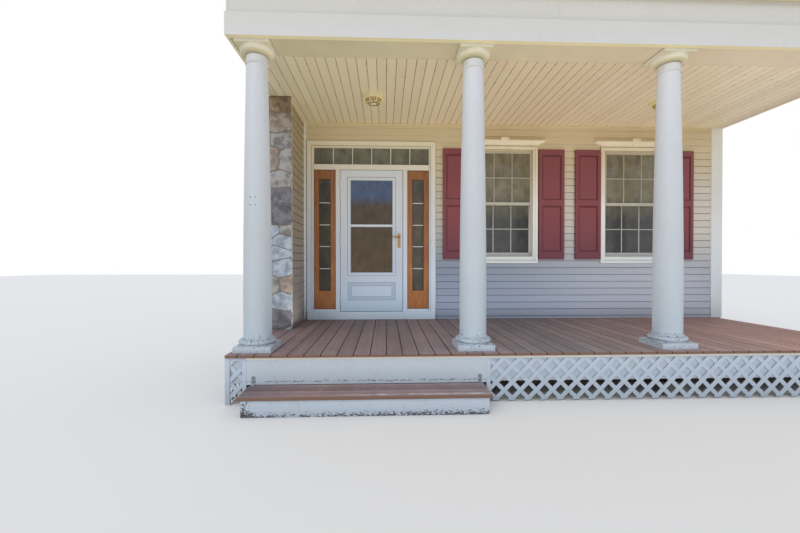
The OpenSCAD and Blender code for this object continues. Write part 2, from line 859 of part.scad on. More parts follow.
// Lever and plate on the outside, lever and rose on the inside
module storm_handle() {
    plate_w = 38;
    plate_h = 200;
    plate_t = 8;
    lever_len = 115;
    lever_r = 9;
    grip_x = storm_x + storm_w - 52;
    grip_z = deck_z + 1195;
    back_y = storm_front_y + storm_t;
    color("gold") place() {
        block(grip_x - plate_w / 2, grip_x + plate_w / 2, storm_front_y - plate_t, storm_front_y,
              grip_z - plate_h + 45, grip_z + 45);
        translate([grip_x, storm_front_y - 45, grip_z]) rotate([-90, 0, 0])
            cylinder(r = lever_r, h = 40);
        translate([grip_x + lever_r, storm_front_y - 45, grip_z]) rotate([0, -90, 0])
            cylinder(r = lever_r - 1, h = lever_len + lever_r);
        block(grip_x - plate_w / 2, grip_x + plate_w / 2, back_y, back_y + plate_t,
              grip_z - 70, grip_z + 45);
        translate([grip_x, back_y + plate_t - 1, grip_z]) rotate([-90, 0, 0])
            cylinder(r = lever_r, h = 28);
        translate([grip_x + lever_r, back_y + 30, grip_z]) rotate([0, -90, 0])
            cylinder(r = lever_r - 1, h = lever_len + lever_r);
    }
}

// Butt hinges: the outer two knuckles are on the post and the middle one on the door.
// The pin line is at y, and dir is 1 where the door face looks along +y, else -1.
knuckle_gap = 1;
plate_t = 2;
plate_w = 30;

module hinge_stack(y, face_y, dir, x0, x1, plate_x, knuckles) {
    third = hinge_len / 3;
    for (z = hinge_z) {
        for (k = knuckles)
            translate([0, 0, z + k * third]) {
                translate([hinge_x, y, 0]) cylinder(d = knuckle_d, h = third - knuckle_gap);
                block(x0, x1, min(face_y, y + 2 * dir), max(face_y, y + 2 * dir),
                      0, third - knuckle_gap);
            }
        block(plate_x, plate_x + plate_w, min(face_y, face_y + plate_t * dir),
              max(face_y, face_y + plate_t * dir), z, z + hinge_len - knuckle_gap);
    }
}

// Fixed halves of the hinges of both doors
module door_hinge_plates() {
    color("silver") place() {
        hinge_stack(storm_hinge_y, post_front_y, -1, hinge_x - 11, hinge_x - 3,
                    hinge_x - plate_w - knuckle_d / 2 - knuckle_gap, [0, 2]);
        hinge_stack(entry_hinge_y, jamb_depth, 1, hinge_x - 11, hinge_x - 3,
                    hinge_x - plate_w - knuckle_d / 2 - knuckle_gap, [0, 2]);
    }
}

module storm_hinge_leaves() {
    color("silver") place()
        hinge_stack(storm_hinge_y, storm_front_y, -1, hinge_x + 2, hinge_x + 11,
                    hinge_x + knuckle_d / 2 + knuckle_gap, [1]);
}

module entry_hinge_leaves() {
    color("silver") place()
        hinge_stack(entry_hinge_y, entry_back_y, 1, hinge_x + 2, hinge_x + 11,
                    hinge_x + knuckle_d / 2 + knuckle_gap, [1]);
}

// Panelled entry door that swings into the house
module entry_door() {
    stile = 125;
    pocket = 10;
    rows = [[230, 620], [1000, 760]];
    panel_w = (entry_w - 3 * stile) / 2;
    color("saddlebrown") place()
        translate([entry_x, entry_setback, entry_z])
            difference() {
                cube([entry_w, entry_t, entry_h]);
                for (r = rows)
                    for (c = [0, 1])
                        for (y = [-cut, entry_t - pocket])
                            translate([stile + c * (panel_w + stile), y, r[0]])
                                cube([panel_w, pocket + cut, r[1]]);
            }
}

// Round knobs on roses, one on each face
module entry_knob() {
    rose_h = 6;
    ball_h = 20;
    color("gold") place()
        translate([entry_x + entry_w - 70, 0, deck_z + 1010])
            for (side = [[entry_setback, 90], [entry_back_y, -90]])
                translate([0, side[0], 0]) rotate([side[1], 0, 0]) {
                    cylinder(r = 32, h = rose_h);
                    cylinder(r = 11, h = knob_reach - ball_h + 1);
                    translate([0, 0, knob_reach - ball_h]) cylinder(r = 25, h = ball_h);
                }
}

// Vinyl window frames with their outside casings, each of two sides, a head and a foot
module window_frames() {
    half = window_w / 2;
    inner = half - window_frame_w;
    casing_inner = half + window_casing_lap - window_band_w;
    foot = window_z + 27;
    head = opening_h - 37;
    frame_depth = 120;
    front = -14;
    color("whitesmoke") place()
        for (x = window_x)
            translate([x, 0, deck_z])
                difference() {
                    union() {
                        block(-half - window_casing_lap, half + window_casing_lap,
                              -window_casing_t, 0, window_z - 73, opening_h + 27);
                        block(-half, half, 0, frame_depth, window_z, opening_h);
                    }
                    block(-casing_inner, casing_inner, -window_casing_t - cut, front,
                          window_z - 73 + window_band_w, opening_h + 27 - window_band_w);
                    block(-inner, inner, front - cut, frame_depth + cut, foot, head);
                    for (side = [-inner - board_joint, inner])
                        block(side, side + board_joint, -window_casing_t - cut,
                              frame_depth + cut, 0, opening_h + 2 * window_casing_lap);
                }
}

sash_half = window_w / 2 - window_frame_w;
sash_low = window_z + 27;
sash_high = opening_h - 37;
meeting = meeting_z - deck_z;
sash_y = [10, 10 + sash_offset];

module window_sashes() {
    color("whitesmoke") place()
        for (x = window_x) {
            translate([x - sash_half, sash_y[0], deck_z + meeting - sash_rail / 2])
                joined_ring(2 * sash_half, sash_high - meeting + sash_rail / 2, sash_t,
                            sash_w, sash_rail, sash_rail);
            translate([x - sash_half, sash_y[1], deck_z + sash_low])
                joined_ring(2 * sash_half, meeting + sash_rail / 2 - sash_low, sash_t,
                            sash_w, sash_foot, sash_rail);
        }
}

module window_glass() {
    pane_half = sash_half - sash_w;
    color("lightblue", 0.4) place()
        for (x = window_x) {
            block(x - pane_half, x + pane_half, sash_y[0] + 12, sash_y[0] + 12 + glass_t,
                  deck_z + meeting + sash_rail / 2, deck_z + sash_high - sash_rail);
            block(x - pane_half, x + pane_half, sash_y[1] + 12, sash_y[1] + 12 + glass_t,
                  deck_z + sash_low + sash_foot, deck_z + meeting - sash_rail / 2);
        }
}

// Crown moulding over each window: a foot strip, a sloped part, a cap strip and a keystone
module crossheads() {
    half = window_w / 2 + window_casing_lap + 10;
    foot_z = deck_z + opening_h + 27;
    top_z = foot_z + crosshead_h;
    top_half = half - 10 + crosshead_reach;
    foot_y = -36;
    key_half = keystone_w / 2;
    color("wheat") place()
        for (x = window_x) {
            block(x - half, x + half, foot_y, 0, foot_z, foot_z + 15);
            hull() {
                block(x - half, x + half, foot_y, 0, foot_z + 14, foot_z + 16);
                block(x - top_half + 8, x + top_half - 8, -66, 0,
                      top_z - crosshead_cap_h - 1, top_z - crosshead_cap_h);
            }
            block(x - top_half, x + top_half, -74, 0, top_z - crosshead_cap_h - 0.5, top_z);
            hull() {
                block(x - key_half + 10, x + key_half - 10, -46, 0, foot_z + 2, foot_z + 6);
                block(x - key_half + 2, x + key_half - 2, -80, 0, top_z - 1, top_z + 1);
            }
            block(x - key_half, x + key_half, -82, 0, top_z, top_z + 38);
        }
}

// Shutter with two raised panels
module shutter() {
    stile = 46;
    top_rail = 82;
    mid_rail = 85;
    foot_rail = 112;
    mid_z = foot_rail + 0.507 * (shutter_h - top_rail - mid_rail - foot_rail);
    pocket = 12;
    edge = 26;
    bays = [[foot_rail, mid_z], [mid_z + mid_rail, shutter_h - top_rail]];
    difference() {
        cube([shutter_w, shutter_t, shutter_h]);
        for (b = bays)
            translate([stile, -cut, b[0]])
                cube([shutter_w - 2 * stile, pocket + cut, b[1] - b[0]]);
    }
    for (b = bays)
        hull() {
            translate([stile + 8, pocket - 1, b[0] + 8])
                cube([shutter_w - 2 * stile - 16, 2, b[1] - b[0] - 16]);
            translate([stile + 8 + edge, 2, b[0] + 8 + edge])
                cube([shutter_w - 2 * stile - 16 - 2 * edge, 2, b[1] - b[0] - 16 - 2 * edge]);
        }
}

module shutters() {
    half = window_w / 2 + window_casing_lap + shutter_gap;
    foot_z = deck_z + window_z - 18;
    color("brown") place()
        for (x = window_x)
            for (left = [x - half - shutter_w, x + half])
                translate([left, -shutter_t, foot_z]) shutter();
}

module doorbell() {
    bell_x = unit_right + 6 + casing_w / 2;
    bell_z = deck_z + 1109;
    color("ivory") place() {
        block(bell_x - 14, bell_x + 14, -trim_t - 8, -trim_t, bell_z - 34, bell_z + 34);
        translate([bell_x, -trim_t - 12, bell_z]) rotate([-90, 0, 0]) cylinder(r = 8, h = 6);
    }
}

foundation();
wall_door_piers();
wall_window_piers();
wall_apron();
wall_header();
house_corner_wall();
stone_veneer();
corner_boards();
deck_floor();
rim_joists();
floor_joists();
pier_posts();
pier_footings();
lattice_left();
lattice_front();
lattice_left_end();
lattice_right_end();
step_upper_riser();
step_treads();
step_frame();
step_straps();
column(0);  // column_1
column(1);  // column_2
column(2);  // column_3
column(3);  // column_4
front_beam();
end_beams();
fascia_lower();
fascia_upper();
ceiling();
roof();
roof_cheeks();
lanterns();
lantern_glass();
door_posts();
door_bars();
door_casing();
door_sill();
sidelights();
door_unit_glass();
door_hinge_plates();
storm_door();
storm_glass();
storm_handle();
storm_hinge_leaves();
entry_door();
entry_knob();
entry_hinge_leaves();
window_frames();
window_sashes();
window_glass();
crossheads();
shutters();
doorbell();
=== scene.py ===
"""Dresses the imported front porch: boards, siding, stone, glazing bars, finishes and light.

All lengths are in metres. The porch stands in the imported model's own frame: +X runs to the
right along the house front, +Y into the house and +Z up.
"""

from __future__ import annotations

import json
import logging
import math
import random
from contextlib import contextmanager
from dataclasses import dataclass
from enum import Enum
from fnmatch import filter as fitting
from functools import cached_property
from typing import Callable, Iterator, Sequence

import bmesh
import bpy
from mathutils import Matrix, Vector

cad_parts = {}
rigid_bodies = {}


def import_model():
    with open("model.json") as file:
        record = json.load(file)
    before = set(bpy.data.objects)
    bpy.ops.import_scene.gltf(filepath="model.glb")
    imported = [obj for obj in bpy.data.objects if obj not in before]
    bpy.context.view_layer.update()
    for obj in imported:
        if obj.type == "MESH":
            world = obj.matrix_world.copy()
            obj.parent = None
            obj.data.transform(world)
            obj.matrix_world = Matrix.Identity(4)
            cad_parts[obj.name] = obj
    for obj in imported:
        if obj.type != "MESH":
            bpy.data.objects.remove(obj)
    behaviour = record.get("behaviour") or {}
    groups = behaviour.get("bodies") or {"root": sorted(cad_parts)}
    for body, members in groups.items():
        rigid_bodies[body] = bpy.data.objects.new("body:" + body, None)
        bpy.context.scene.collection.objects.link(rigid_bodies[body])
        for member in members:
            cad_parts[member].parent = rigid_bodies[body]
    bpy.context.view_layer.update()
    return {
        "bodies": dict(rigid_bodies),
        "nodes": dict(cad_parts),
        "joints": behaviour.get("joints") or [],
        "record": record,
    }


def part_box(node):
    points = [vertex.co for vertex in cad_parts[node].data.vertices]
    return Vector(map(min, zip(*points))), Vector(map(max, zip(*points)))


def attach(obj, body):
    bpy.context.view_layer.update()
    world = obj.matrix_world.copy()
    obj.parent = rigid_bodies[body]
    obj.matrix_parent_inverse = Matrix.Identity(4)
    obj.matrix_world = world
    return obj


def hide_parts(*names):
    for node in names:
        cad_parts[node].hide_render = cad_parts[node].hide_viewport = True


LOG = logging.getLogger("porch")
BODY = "porch"
STORM = "storm_door_leaf"
# Height of one course of siding, and width of one ceiling board.
COURSE = 0.1016
# From one deck board's edge to the next one's.
BOARD = 0.146
# Height of the columns' top, where a painted shadow line marks the joint with the beam.
CAP = 3.292
# Less than any real step of the surface: tells on which side of a line a corner lies.
HAIR = 0.001
Object = bpy.types.Object
Socket = bpy.types.NodeSocket
Point = tuple[float, float, float]
Span = tuple[float, float]
Tones = tuple[tuple[float, str], ...]


class Part(Enum):
    """What an edit-mode selection is made of."""

    CORNER = "VERT"
    EDGE = "EDGE"
    FACE = "FACE"


# ---------------------------------------------------------------- bench work


def activate(obj: Object) -> None:
    """Selects one object alone and makes it the active one.

    Args:
        obj: The object.
    """
    bpy.ops.object.select_all(action="DESELECT")
    bpy.context.view_layer.objects.active = obj
    obj.select_set(True)


@contextmanager
def editing(obj: Object) -> Iterator[None]:
    """Opens one object in edit mode with nothing selected, and closes it again.

    Args:
        obj: The mesh object to work on.
    """
    activate(obj)
    bpy.ops.object.mode_set(mode="EDIT")
    bpy.ops.mesh.select_all(action="DESELECT")
    yield
    bpy.ops.object.mode_set(mode="OBJECT")


def pick(obj: Object, part: Part, test: Callable[..., bool]) -> None:
    """Selects the corners, edges or faces that pass a test, in edit mode.

    Args:
        obj: The object in edit mode.
        part: What to select.
        test: Says of one corner, edge or face whether it is selected.
    """
    bpy.ops.mesh.select_mode(type=part.value)
    mesh = bmesh.from_edit_mesh(obj.data)
    items = {Part.CORNER: mesh.verts, Part.EDGE: mesh.edges, Part.FACE: mesh.faces}[part]
    for item in items:
        item.select_set(test(item))
    bmesh.update_edit_mesh(obj.data)


def label(obj: Object, name: str) -> Object:
    """Names an object and its mesh, and gives the object back."""
    obj.name = obj.data.name = name
    return obj


def block(name: str, low: Sequence[float], high: Sequence[float]) -> Object:
    """Adds a cuboid between two corners, its place in its mesh.

    Args:
        name: Name of the new object.
        low: Lowest corner.
        high: Highest corner.

    Returns:
        The new object, at the origin, unturned and unscaled.
    """
    middle = [(a + b) / 2 for a, b in zip(low, high)]
    size = [b - a for a, b in zip(low, high)]
    bpy.ops.object.select_all(action="DESELECT")
    bpy.ops.mesh.primitive_cube_add(size=1, location=middle, scale=size)
    bpy.ops.object.transform_apply(location=True, rotation=True, scale=True)
    return label(bpy.context.object, name)


def ease(
    obj: Object, width: float, test: Callable[..., bool] = lambda edge: True, steps: int = 2
) -> None:
    """Rounds the edges that pass a test, or all of them.

    Args:
        obj: The object to work on.
        width: Width of the rounding.
        test: Says of an edge whether it is rounded.
        steps: Number of faces across the rounding.
    """
    with editing(obj):
        pick(obj, Part.EDGE, test)
        bpy.ops.mesh.bevel(offset=width, segments=steps, affect="EDGES", clamp_overlap=True)


def shift(obj: Object, move: Sequence[float], test: Callable[..., bool]) -> None:
    """Moves the corners that pass a test.

    Args:
        obj: The object to work on.
        move: How far to move them.
        test: Says of a corner whether it moves.
    """
    with editing(obj):
        pick(obj, Part.CORNER, test)
        bpy.ops.transform.translate(value=move)


def modify(obj: Object, kind: str, **settings: object) -> None:
    """Adds one modifier to an object and applies it.

    Args:
        obj: The object to work on.
        kind: Blender's name for the modifier type.
        settings: Its settings.
    """
    activate(obj)
    modifier = obj.modifiers.new(kind.lower(), kind)
    for key, value in settings.items():
        setattr(modifier, key, value)
    bpy.ops.object.modifier_apply(modifier=modifier.name)


def repeat(obj: Object, count: int, step: Sequence[float]) -> None:
    """Repeats a mesh until there are count of it, each a step from the one before."""
    modify(obj, "ARRAY", count=count, use_relative_offset=False, use_constant_offset=True,
           constant_offset_displace=step)


def trim(obj: Object, point: Sequence[float], outward: Sequence[float]) -> None:
    """Cuts off and closes what lies beyond a plane.

    Args:
        obj: The object to cut.
        point: A point on the plane.
        outward: The plane's normal, towards what goes.
    """
    with editing(obj):
        bpy.ops.mesh.select_all(action="SELECT")
        bpy.ops.mesh.bisect(plane_co=point, plane_no=outward, use_fill=True, clear_outer=True)


def join(name: str, parts: Sequence[Object]) -> Object:
    """Makes one object of several.

    Args:
        name: Name of the joined object.
        parts: The objects, of which the first takes in the others.

    Returns:
        The joined object.
    """
    activate(parts[0])
    for part in parts[1:]:
        part.select_set(True)
    if len(parts) > 1:
        bpy.ops.object.join()
    return label(parts[0], name)


def carve(obj: Object, boxes: Sequence[tuple[Point, Point]]) -> None:
    """Cuts boxes out of an object.

    Args:
        obj: The object to cut.
        boxes: Lowest and highest corner of each box.
    """
    for low, high in boxes:
        cutter = block("cutter", low, high)
        modify(obj, "BOOLEAN", operation="DIFFERENCE", object=cutter, solver="EXACT")
        bpy.data.objects.remove(cutter)


# ---------------------------------------------------------------- finishes


def linear(code: str) -> tuple[float, float, float, float]:
    """Turns an sRGB hex colour to Blender's linear one.

    Args:
        code: Six hex digits.

    Returns:
        Linear red, green and blue, and full opacity.
    """
    parts = [int(code[i : i + 2], 16) / 255 for i in (0, 2, 4)]
    red, green, blue = (
        p / 12.92 if p <= 0.04045 else ((p + 0.055) / 1.055) ** 2.4 for p in parts
    )
    return red, green, blue, 1.0


class Graph:
    """A node tree while its nodes are being laid out."""

    def __init__(self, tree: bpy.types.NodeTree, last: str) -> None:
        """Takes up a tree and its last shader, whose inputs are to be set."""
        self.tree = tree
        self.shader = tree.nodes[last]

    @cached_property
    def coordinates(self) -> bpy.types.Node:
        """Gives the node that tells places and facings, added at its first use."""
        return self.add("TexCoord").node

    def add(
        self, kind: str, sockets: dict[str | int, object] | None = None, out: str | int = 0,
        **settings: object,
    ) -> Socket:
        """Adds a node with its settings, values and links.

        Args:
            kind: Blender's name for the node type, without ShaderNode in front.
            sockets: Input name or number, and a value or the output linked to it.
            out: Name or number of the output that is wanted.
            settings: Attributes of the node.

        Returns:
            That output of the new node.
        """
        node = self.tree.nodes.new("ShaderNode" + kind)
        for key, value in settings.items():
            setattr(node, key, value)
        for key, value in (sockets or {}).items():
            if isinstance(value, Socket):
                self.tree.links.new(value, node.inputs[key])
            else:
                node.inputs[key].default_value = value
        return node.outputs[out]

    def patches(
        self,
        size: float,
        low: float = 0.35,
        high: float = 0.65,
        stretch: Point = (1.0, 1.0, 1.0),
        detail: float = 4.0,
        offset: float = 0.0,
    ) -> Socket:
        """Lays out irregular patches of a real size.

        Args:
            size: Width of a patch in metres.
            low: Noise level that gives 0.
            high: Noise level that gives 1.
            stretch: How much longer the patches are along each axis.
            detail: Number of finer layers.
            offset: Moves the pattern, so that two of them differ.

        Returns:
            A factor from 0 to 1.
        """
        place = self.coordinates.outputs["Object"]
        scale = [1 / (size * s) for s in stretch]
        spot = self.add("Mapping", {"Vector": place, "Scale": scale, "Location": [offset] * 3})
        noise = self.add("TexNoise", {"Vector": spot, "Scale": 1.0, "Detail": detail})
        return self.add("MapRange", {"Value": noise, "From Min": low, "From Max": high})

    def ramp(self, axis: str, low: float, high: float, source: str = "Object") -> Socket:
        """Lays out a factor from 0 at low to 1 at high, by the place or by the Normal's facing."""
        value = self.add("SeparateXYZ", {0: self.coordinates.outputs[source]}, axis)
        return self.add("MapRange", {"Value": value, "From Min": low, "From Max": high})

    def strips(self, axis: str, start: float, pitch: float) -> tuple[Socket, Socket]:
        """Divides the surface into boards or courses of one width.

        Args:
            axis: The axis that runs across the strips.
            start: Edge of one strip on that axis.
            pitch: Width of a strip.

        Returns:
            A random number for each strip, and the place across it, both from 0 to 1.
        """
        place = self.add("SeparateXYZ", {0: self.coordinates.outputs["Object"]}, axis)
        past = self.add("Math", {0: place, 1: start}, operation="SUBTRACT")
        row = self.add("Math", {0: past, 1: pitch}, operation="DIVIDE")
        count = self.add("Math", {0: row}, operation="FLOOR")
        across = self.add("Math", {0: row}, operation="FRACT")
        return self.add("TexWhiteNoise", {"W": count}, noise_dimensions="1D"), across

    def toned(self, tones: Tones, axis: str = "Z") -> Socket:
        """Lays out a colour that changes along one axis.

        Args:
            tones: Places along it in metres, in order, each with its hex colour.
            axis: X, Y or Z.

        Returns:
            The colour.
        """
        start, end = tones[0][0], tones[-1][0]
        band = self.add("ValToRGB", {0: self.ramp(axis, start, end)})
        marks = band.node.color_ramp.elements
        marks[0].color, marks[1].color = linear(tones[0][1]), linear(tones[-1][1])
        for place, code in tones[1:-1]:
            marks.new((place - start) / (end - start)).color = linear(code)
        return band

    def coat(
        self,
        amount: Socket | Sequence[Socket],
        under: Socket | str,
        over: Socket | str,
        cover: float = 1.0,
    ) -> Socket:
        """Lays a second colour over part of a surface.

        Args:
            amount: Where it lies, from 0 to 1, or several such factors, to be multiplied.
            under: The colour underneath, as an output or in hex.
            over: The colour on top.
            cover: How much it hides there.

        Returns:
            The colour of both together.
        """
        share, *others = [amount] if isinstance(amount, Socket) else amount
        for factor in (*others, cover):
            share = self.add("Math", {0: share, 1: factor}, operation="MULTIPLY", use_clamp=True)
        first, second = (linear(c) if isinstance(c, str) else c for c in (under, over))
        return self.add("Mix", {0: share, 6: first, 7: second}, 2, data_type="RGBA")

    def mottled(self, chance: Socket, colour: Socket, low: float, high: float) -> Socket:
        """Makes a colour darker and lighter by chance, from low to high times as bright."""
        value = self.add("MapRange", {"Value": chance, "To Min": low, "To Max": high})
        return self.add("HueSaturation", {"Value": value, "Color": colour})

    def seen(self) -> Socket:
        """Tells what is seen or mirrored, 1, from what only lights the object, 0."""
        rays = self.add("LightPath").node.outputs
        seen = rays["Is Camera Ray"]
        for ray in ("Is Glossy Ray", "Is Transmission Ray"):
            seen = self.add("Math", {0: seen, 1: rays[ray]}, operation="MAXIMUM")
        return seen

    def bump(self, height: Socket, depth: float, strength: float = 0.6) -> None:
        """Adds relief on top of any that the shader already has.

        Args:
            height: Factor from 0 to 1.
            depth: Depth of the relief in metres.
            strength: How strongly it shows.
        """
        sockets = {"Height": height, "Distance": depth, "Strength": strength}
        if self.shader.inputs["Normal"].links:
            sockets["Normal"] = self.shader.inputs["Normal"].links[0].from_socket
        self.set(Normal=self.add("Bump", sockets))

    def set(self, **values: object) -> None:
        """Sets inputs of the shader, with an underscore for each space in a name."""
        for key, value in values.items():
            socket = self.shader.inputs[key.replace("_", " ")]
            if isinstance(value, Socket):
                self.tree.links.new(value, socket)
            else:
                socket.default_value = value


@dataclass(frozen=True)
class Finish:
    """A surface finish, drawn up once and then shared."""

    name: str

    def draw(self, graph: Graph) -> None:
        """Lays out the finish's nodes."""
        raise NotImplementedError

    def material(self) -> bpy.types.Material:
        """Gives the finish's material, made at its first use."""
        found = bpy.data.materials.get(self.name)
        if found:
            return found
        material = bpy.data.materials.new(self.name)
        material.use_nodes = True
        self.draw(Graph(material.node_tree, "Principled BSDF"))
        return material


@dataclass(frozen=True)
class Wear:
    """Where a paint film has chipped, most of all along one level line.

    The film is bare where the pattern of chips passes a limit, which rises from bared on that
    line to sound at reach from it, and is lower towards the worse side and the corner.
    """

    level: float
    reach: float
    bared: float
    worse: Span = (8.0, 9.0)
    corner: Span = (-8.0, -9.0)
    chip: Point = (2.2, 2.2, 1.0)
    lower: Span = (-0.08, -0.25)
    sound: float = 0.79
    crispness: float = 26.0

    def bare(self, graph: Graph, film: Socket) -> Socket:
        """Bares the grey wood in small chips.

        Args:
            graph: The material.
            film: Colour of the whole film.

        Returns:
            Colour of the chipped film.
        """
        above = graph.ramp("Z", self.level, self.level + self.reach)
        below = graph.ramp("Z", self.level, self.level - self.reach)
        away = graph.add("Math", {0: above, 1: below}, operation="MAXIMUM")
        limit = graph.add("MapRange", {"Value": away, "To Min": self.bared, "To Max": self.sound})
        for stretch, change in zip((self.worse, self.corner), self.lower):
            changed = {0: graph.ramp("X", *stretch), 1: change, 2: limit}
            limit = graph.add("Math", changed, operation="MULTIPLY_ADD")
        # Real chips are 3 to 20 mm wide; the noise cell is the larger of these.
        chips = graph.patches(0.012, 0.0, 1.0, self.chip, 7, 7.0)
        over = graph.add("Math", {0: chips, 1: limit}, operation="SUBTRACT")
        sharper = {0: over, 1: self.crispness}
        edge = graph.add("Math", sharper, operation="MULTIPLY", use_clamp=True)
        graph.bump(edge, -0.0012, 0.8)
        worn = graph.coat(edge, film, "6c6d74")
        grain = graph.patches(0.012, stretch=(6, 1, 1))
        return graph.coat((edge, grain), worn, "3b3d42", 0.8)


@dataclass(frozen=True)
class Paint(Finish):
    """House paint: an eggshell film with brush grain, its tones painted light: cool low down, warm
    under the roof.

    Dirt lies in small spots; painted shade and dust lie in the sunk panels; faces that look down
    take a painted warm light; worn paint is chipped.
    """

    tones: Tones
    under: str = "d9cfa8"
    dirt: float = 0.2
    roughness: float = 0.5
    sunk: Span | None = None
    wear: Wear | None = None
    flecks: Span | None = None

    def draw(self, graph: Graph) -> None:
        """Lays out film, painted warm light on faces that look down, dirt, painted shade in sunk
        panels, chips and the brush's grain.

        Args:
            graph: The material.
        """
        # Painted light: faces that look down take the warm under colour, as if lit from the sunlit
        # ground.
        down = graph.ramp("Z", -0.6, -0.95, "Normal")
        film = graph.coat(down, graph.toned(self.tones), self.under)
        film = graph.mottled(graph.patches(0.4, 0.3, 0.7), film, 0.98, 1.01)
        spots = graph.patches(0.04, 0.58, 0.8, (1, 1, 2), 8, 3.0)
        film = graph.coat(spots, film, "8f8d84", self.dirt)
        # Painted shade and dust: the deeper faces of the sunk panels turn darker and bluer.
        if self.sunk:
            film = graph.coat(graph.ramp("Y", *self.sunk), film, "5c6a7c", 0.25)
        graph.bump(graph.patches(0.004, stretch=(1, 1, 6)), 0.0006, 0.25)
        if self.wear:
            film = self.wear.bare(graph, film)
        if self.flecks:
            specks = graph.patches(0.024, 0.64, 0.67, detail=2.0, offset=5.0)
            film = graph.coat((graph.ramp("Z", *self.flecks), specks), film, "3d444c", 0.9)
        graph.set(Base_Color=film, Roughness=self.roughness)


@dataclass(frozen=True)
class VinylSiding(Finish):
    """Extruded vinyl lap siding: matt, faintly wood-grained, with a dark line up under each lap,
    part dirt and part painted shade.
    """

    tones: Tones
    right: Tones | None = None
    lap: str = "5d5546"
    lap_shade_and_grime: float = 0.85
    fading: float = 0.62
    lap_shade_and_grime_band: Span = (0.89, 0.95)
    under_roof: Span = (2.75, 3.0)
    turning: Span = (-0.6, 2.2)
    start: float = 0.3894

    def draw(self, graph: Graph) -> None:
        """Lays out the courses' tints, the lap line of dirt and painted shade, and the pressed
        grain.

        Args:
            graph: The material.
        """
        chance, across = graph.strips("Z", self.start, COURSE)
        tone = graph.toned(self.tones)
        if self.right:
            tone = graph.coat(graph.ramp("X", *self.turning), tone, graph.toned(self.right))
        vinyl = graph.mottled(chance, tone, 0.95, 1.01)
        # The lap line is 9 mm high, coarser than the 3 mm that dirt really fills; the rest of it is
        # painted shade.
        low, high = self.lap_shade_and_grime_band
        line = graph.add("MapRange", {"Value": across, "From Min": low, "From Max": high})
        # The painted shade of the lap line fades out towards the roof.
        faded = graph.add("MapRange", {"Value": graph.ramp("Z", *self.under_roof),
                                       "To Min": self.lap_shade_and_grime, "To Max": self.lap_shade_and_grime - self.fading})
        vinyl = graph.coat((line, faded), vinyl, self.lap)
        graph.bump(graph.patches(0.003, stretch=(14, 14, 1)), 0.0004, 0.3)
        graph.set(Base_Color=vinyl, Roughness=0.55)


@dataclass(frozen=True)
class Decking(Finish):
    """Composite deck board: brushed wood flour and resin, faded on top, with pale scuffs."""

    pitch: float
    start: float
    tones: Tones = ((-2.6, "9a868c"), (0.0, "9d98a0"), (2.8, "d3a396"))
    sides: str = "7b5f52"
    axis: str = "X"
    worn_edge: float | None = None
    rubbed: tuple[Span, Span] = ((0.004, 0.012), (0.06, 0.035))
    rubbed_from: Span = (-2.3, -1.9)
    streaks: float = 0.1
    band: float = 0.02
    shaded: Span = (-1.0, 0.9)
    gaps: tuple[float, ...] = ()
    gap_fade: float = 0.01

    def draw(self, graph: Graph) -> None:
        """Lays out each board's own tint, brushed grain, scuffs, painted shade in the gaps and a
        worn edge.

        Args:
            graph: The material.
        """
        chance, _ = graph.strips(self.axis, self.start, self.pitch)
        stretch = (1.0, 26.0, 1.0) if self.axis == "X" else (26.0, 1.0, 1.0)
        streak = graph.patches(0.005, 0.3, 0.7, stretch, 5)
        cloud = graph.patches(0.22, 0.3, 0.72, (1.0, 2.0, 1.0), 6, 2.0)
        top = graph.mottled(cloud, graph.toned(self.tones, "X"), 0.86, 1.12)
        top = graph.coat(graph.ramp("Y", *self.shaded), top, "5f565d", 0.55)
        top = graph.coat(streak, top, "6b4f48", 0.4)
        longer = tuple(6.0 * s if s > 1 else s for s in stretch)
        broad = graph.patches(self.band, 0.35, 0.65, longer, 5, 6.0)
        top = graph.mottled(broad, top, 1 - self.streaks, 1 + self.streaks)
        top = graph.mottled(chance, top, 0.85, 1.1)
        top = graph.coat(graph.patches(0.03, 0.62, 0.8, (2, 2, 1), 9, 5.0), top, "b9b0ae", 0.8)
        board = graph.coat(graph.ramp("Z", 0.5, 0.8, "Normal"), self.sides, top)
        # Painted shade: the board sides that face the gaps between boards turn near-black.
        for sign, end in zip((-1, 1), self.gaps):
            side = graph.ramp("X", sign * 0.6, sign * 0.9, "Normal")
            inside = graph.ramp("X", end, end - sign * self.gap_fade)
            board = graph.coat((side, inside), board, "2a2321", 0.9)
        if self.worn_edge is not None:
            past, before = (
                graph.ramp("Y", self.worn_edge + low, self.worn_edge + high)
                for low, high in self.rubbed
            )
            scuffs = graph.patches(0.014, 0.46, 0.54, (9, 1, 1), 8, 9.0)
            right = graph.ramp("X", *self.rubbed_from)
            board = graph.coat((past, before, scuffs, right), board, "d6cfcd", 0.85)
        graph.bump(streak, 0.0008, 0.5)
        graph.set(Base_Color=board, Roughness=0.72)


class Rock(Enum):
    """The kinds of stone in the facing, with their two hex colours."""

    BROWN = ("a58c6e", "7d6850")
    TAN = ("b0a294", "857a70")
    PINK = ("b7a597", "96887f")
    GREY = ("b3b0ae", "83817f")
    LILAC = ("85838c", "62616a")
    BLUE = ("bcc6d2", "919da9")


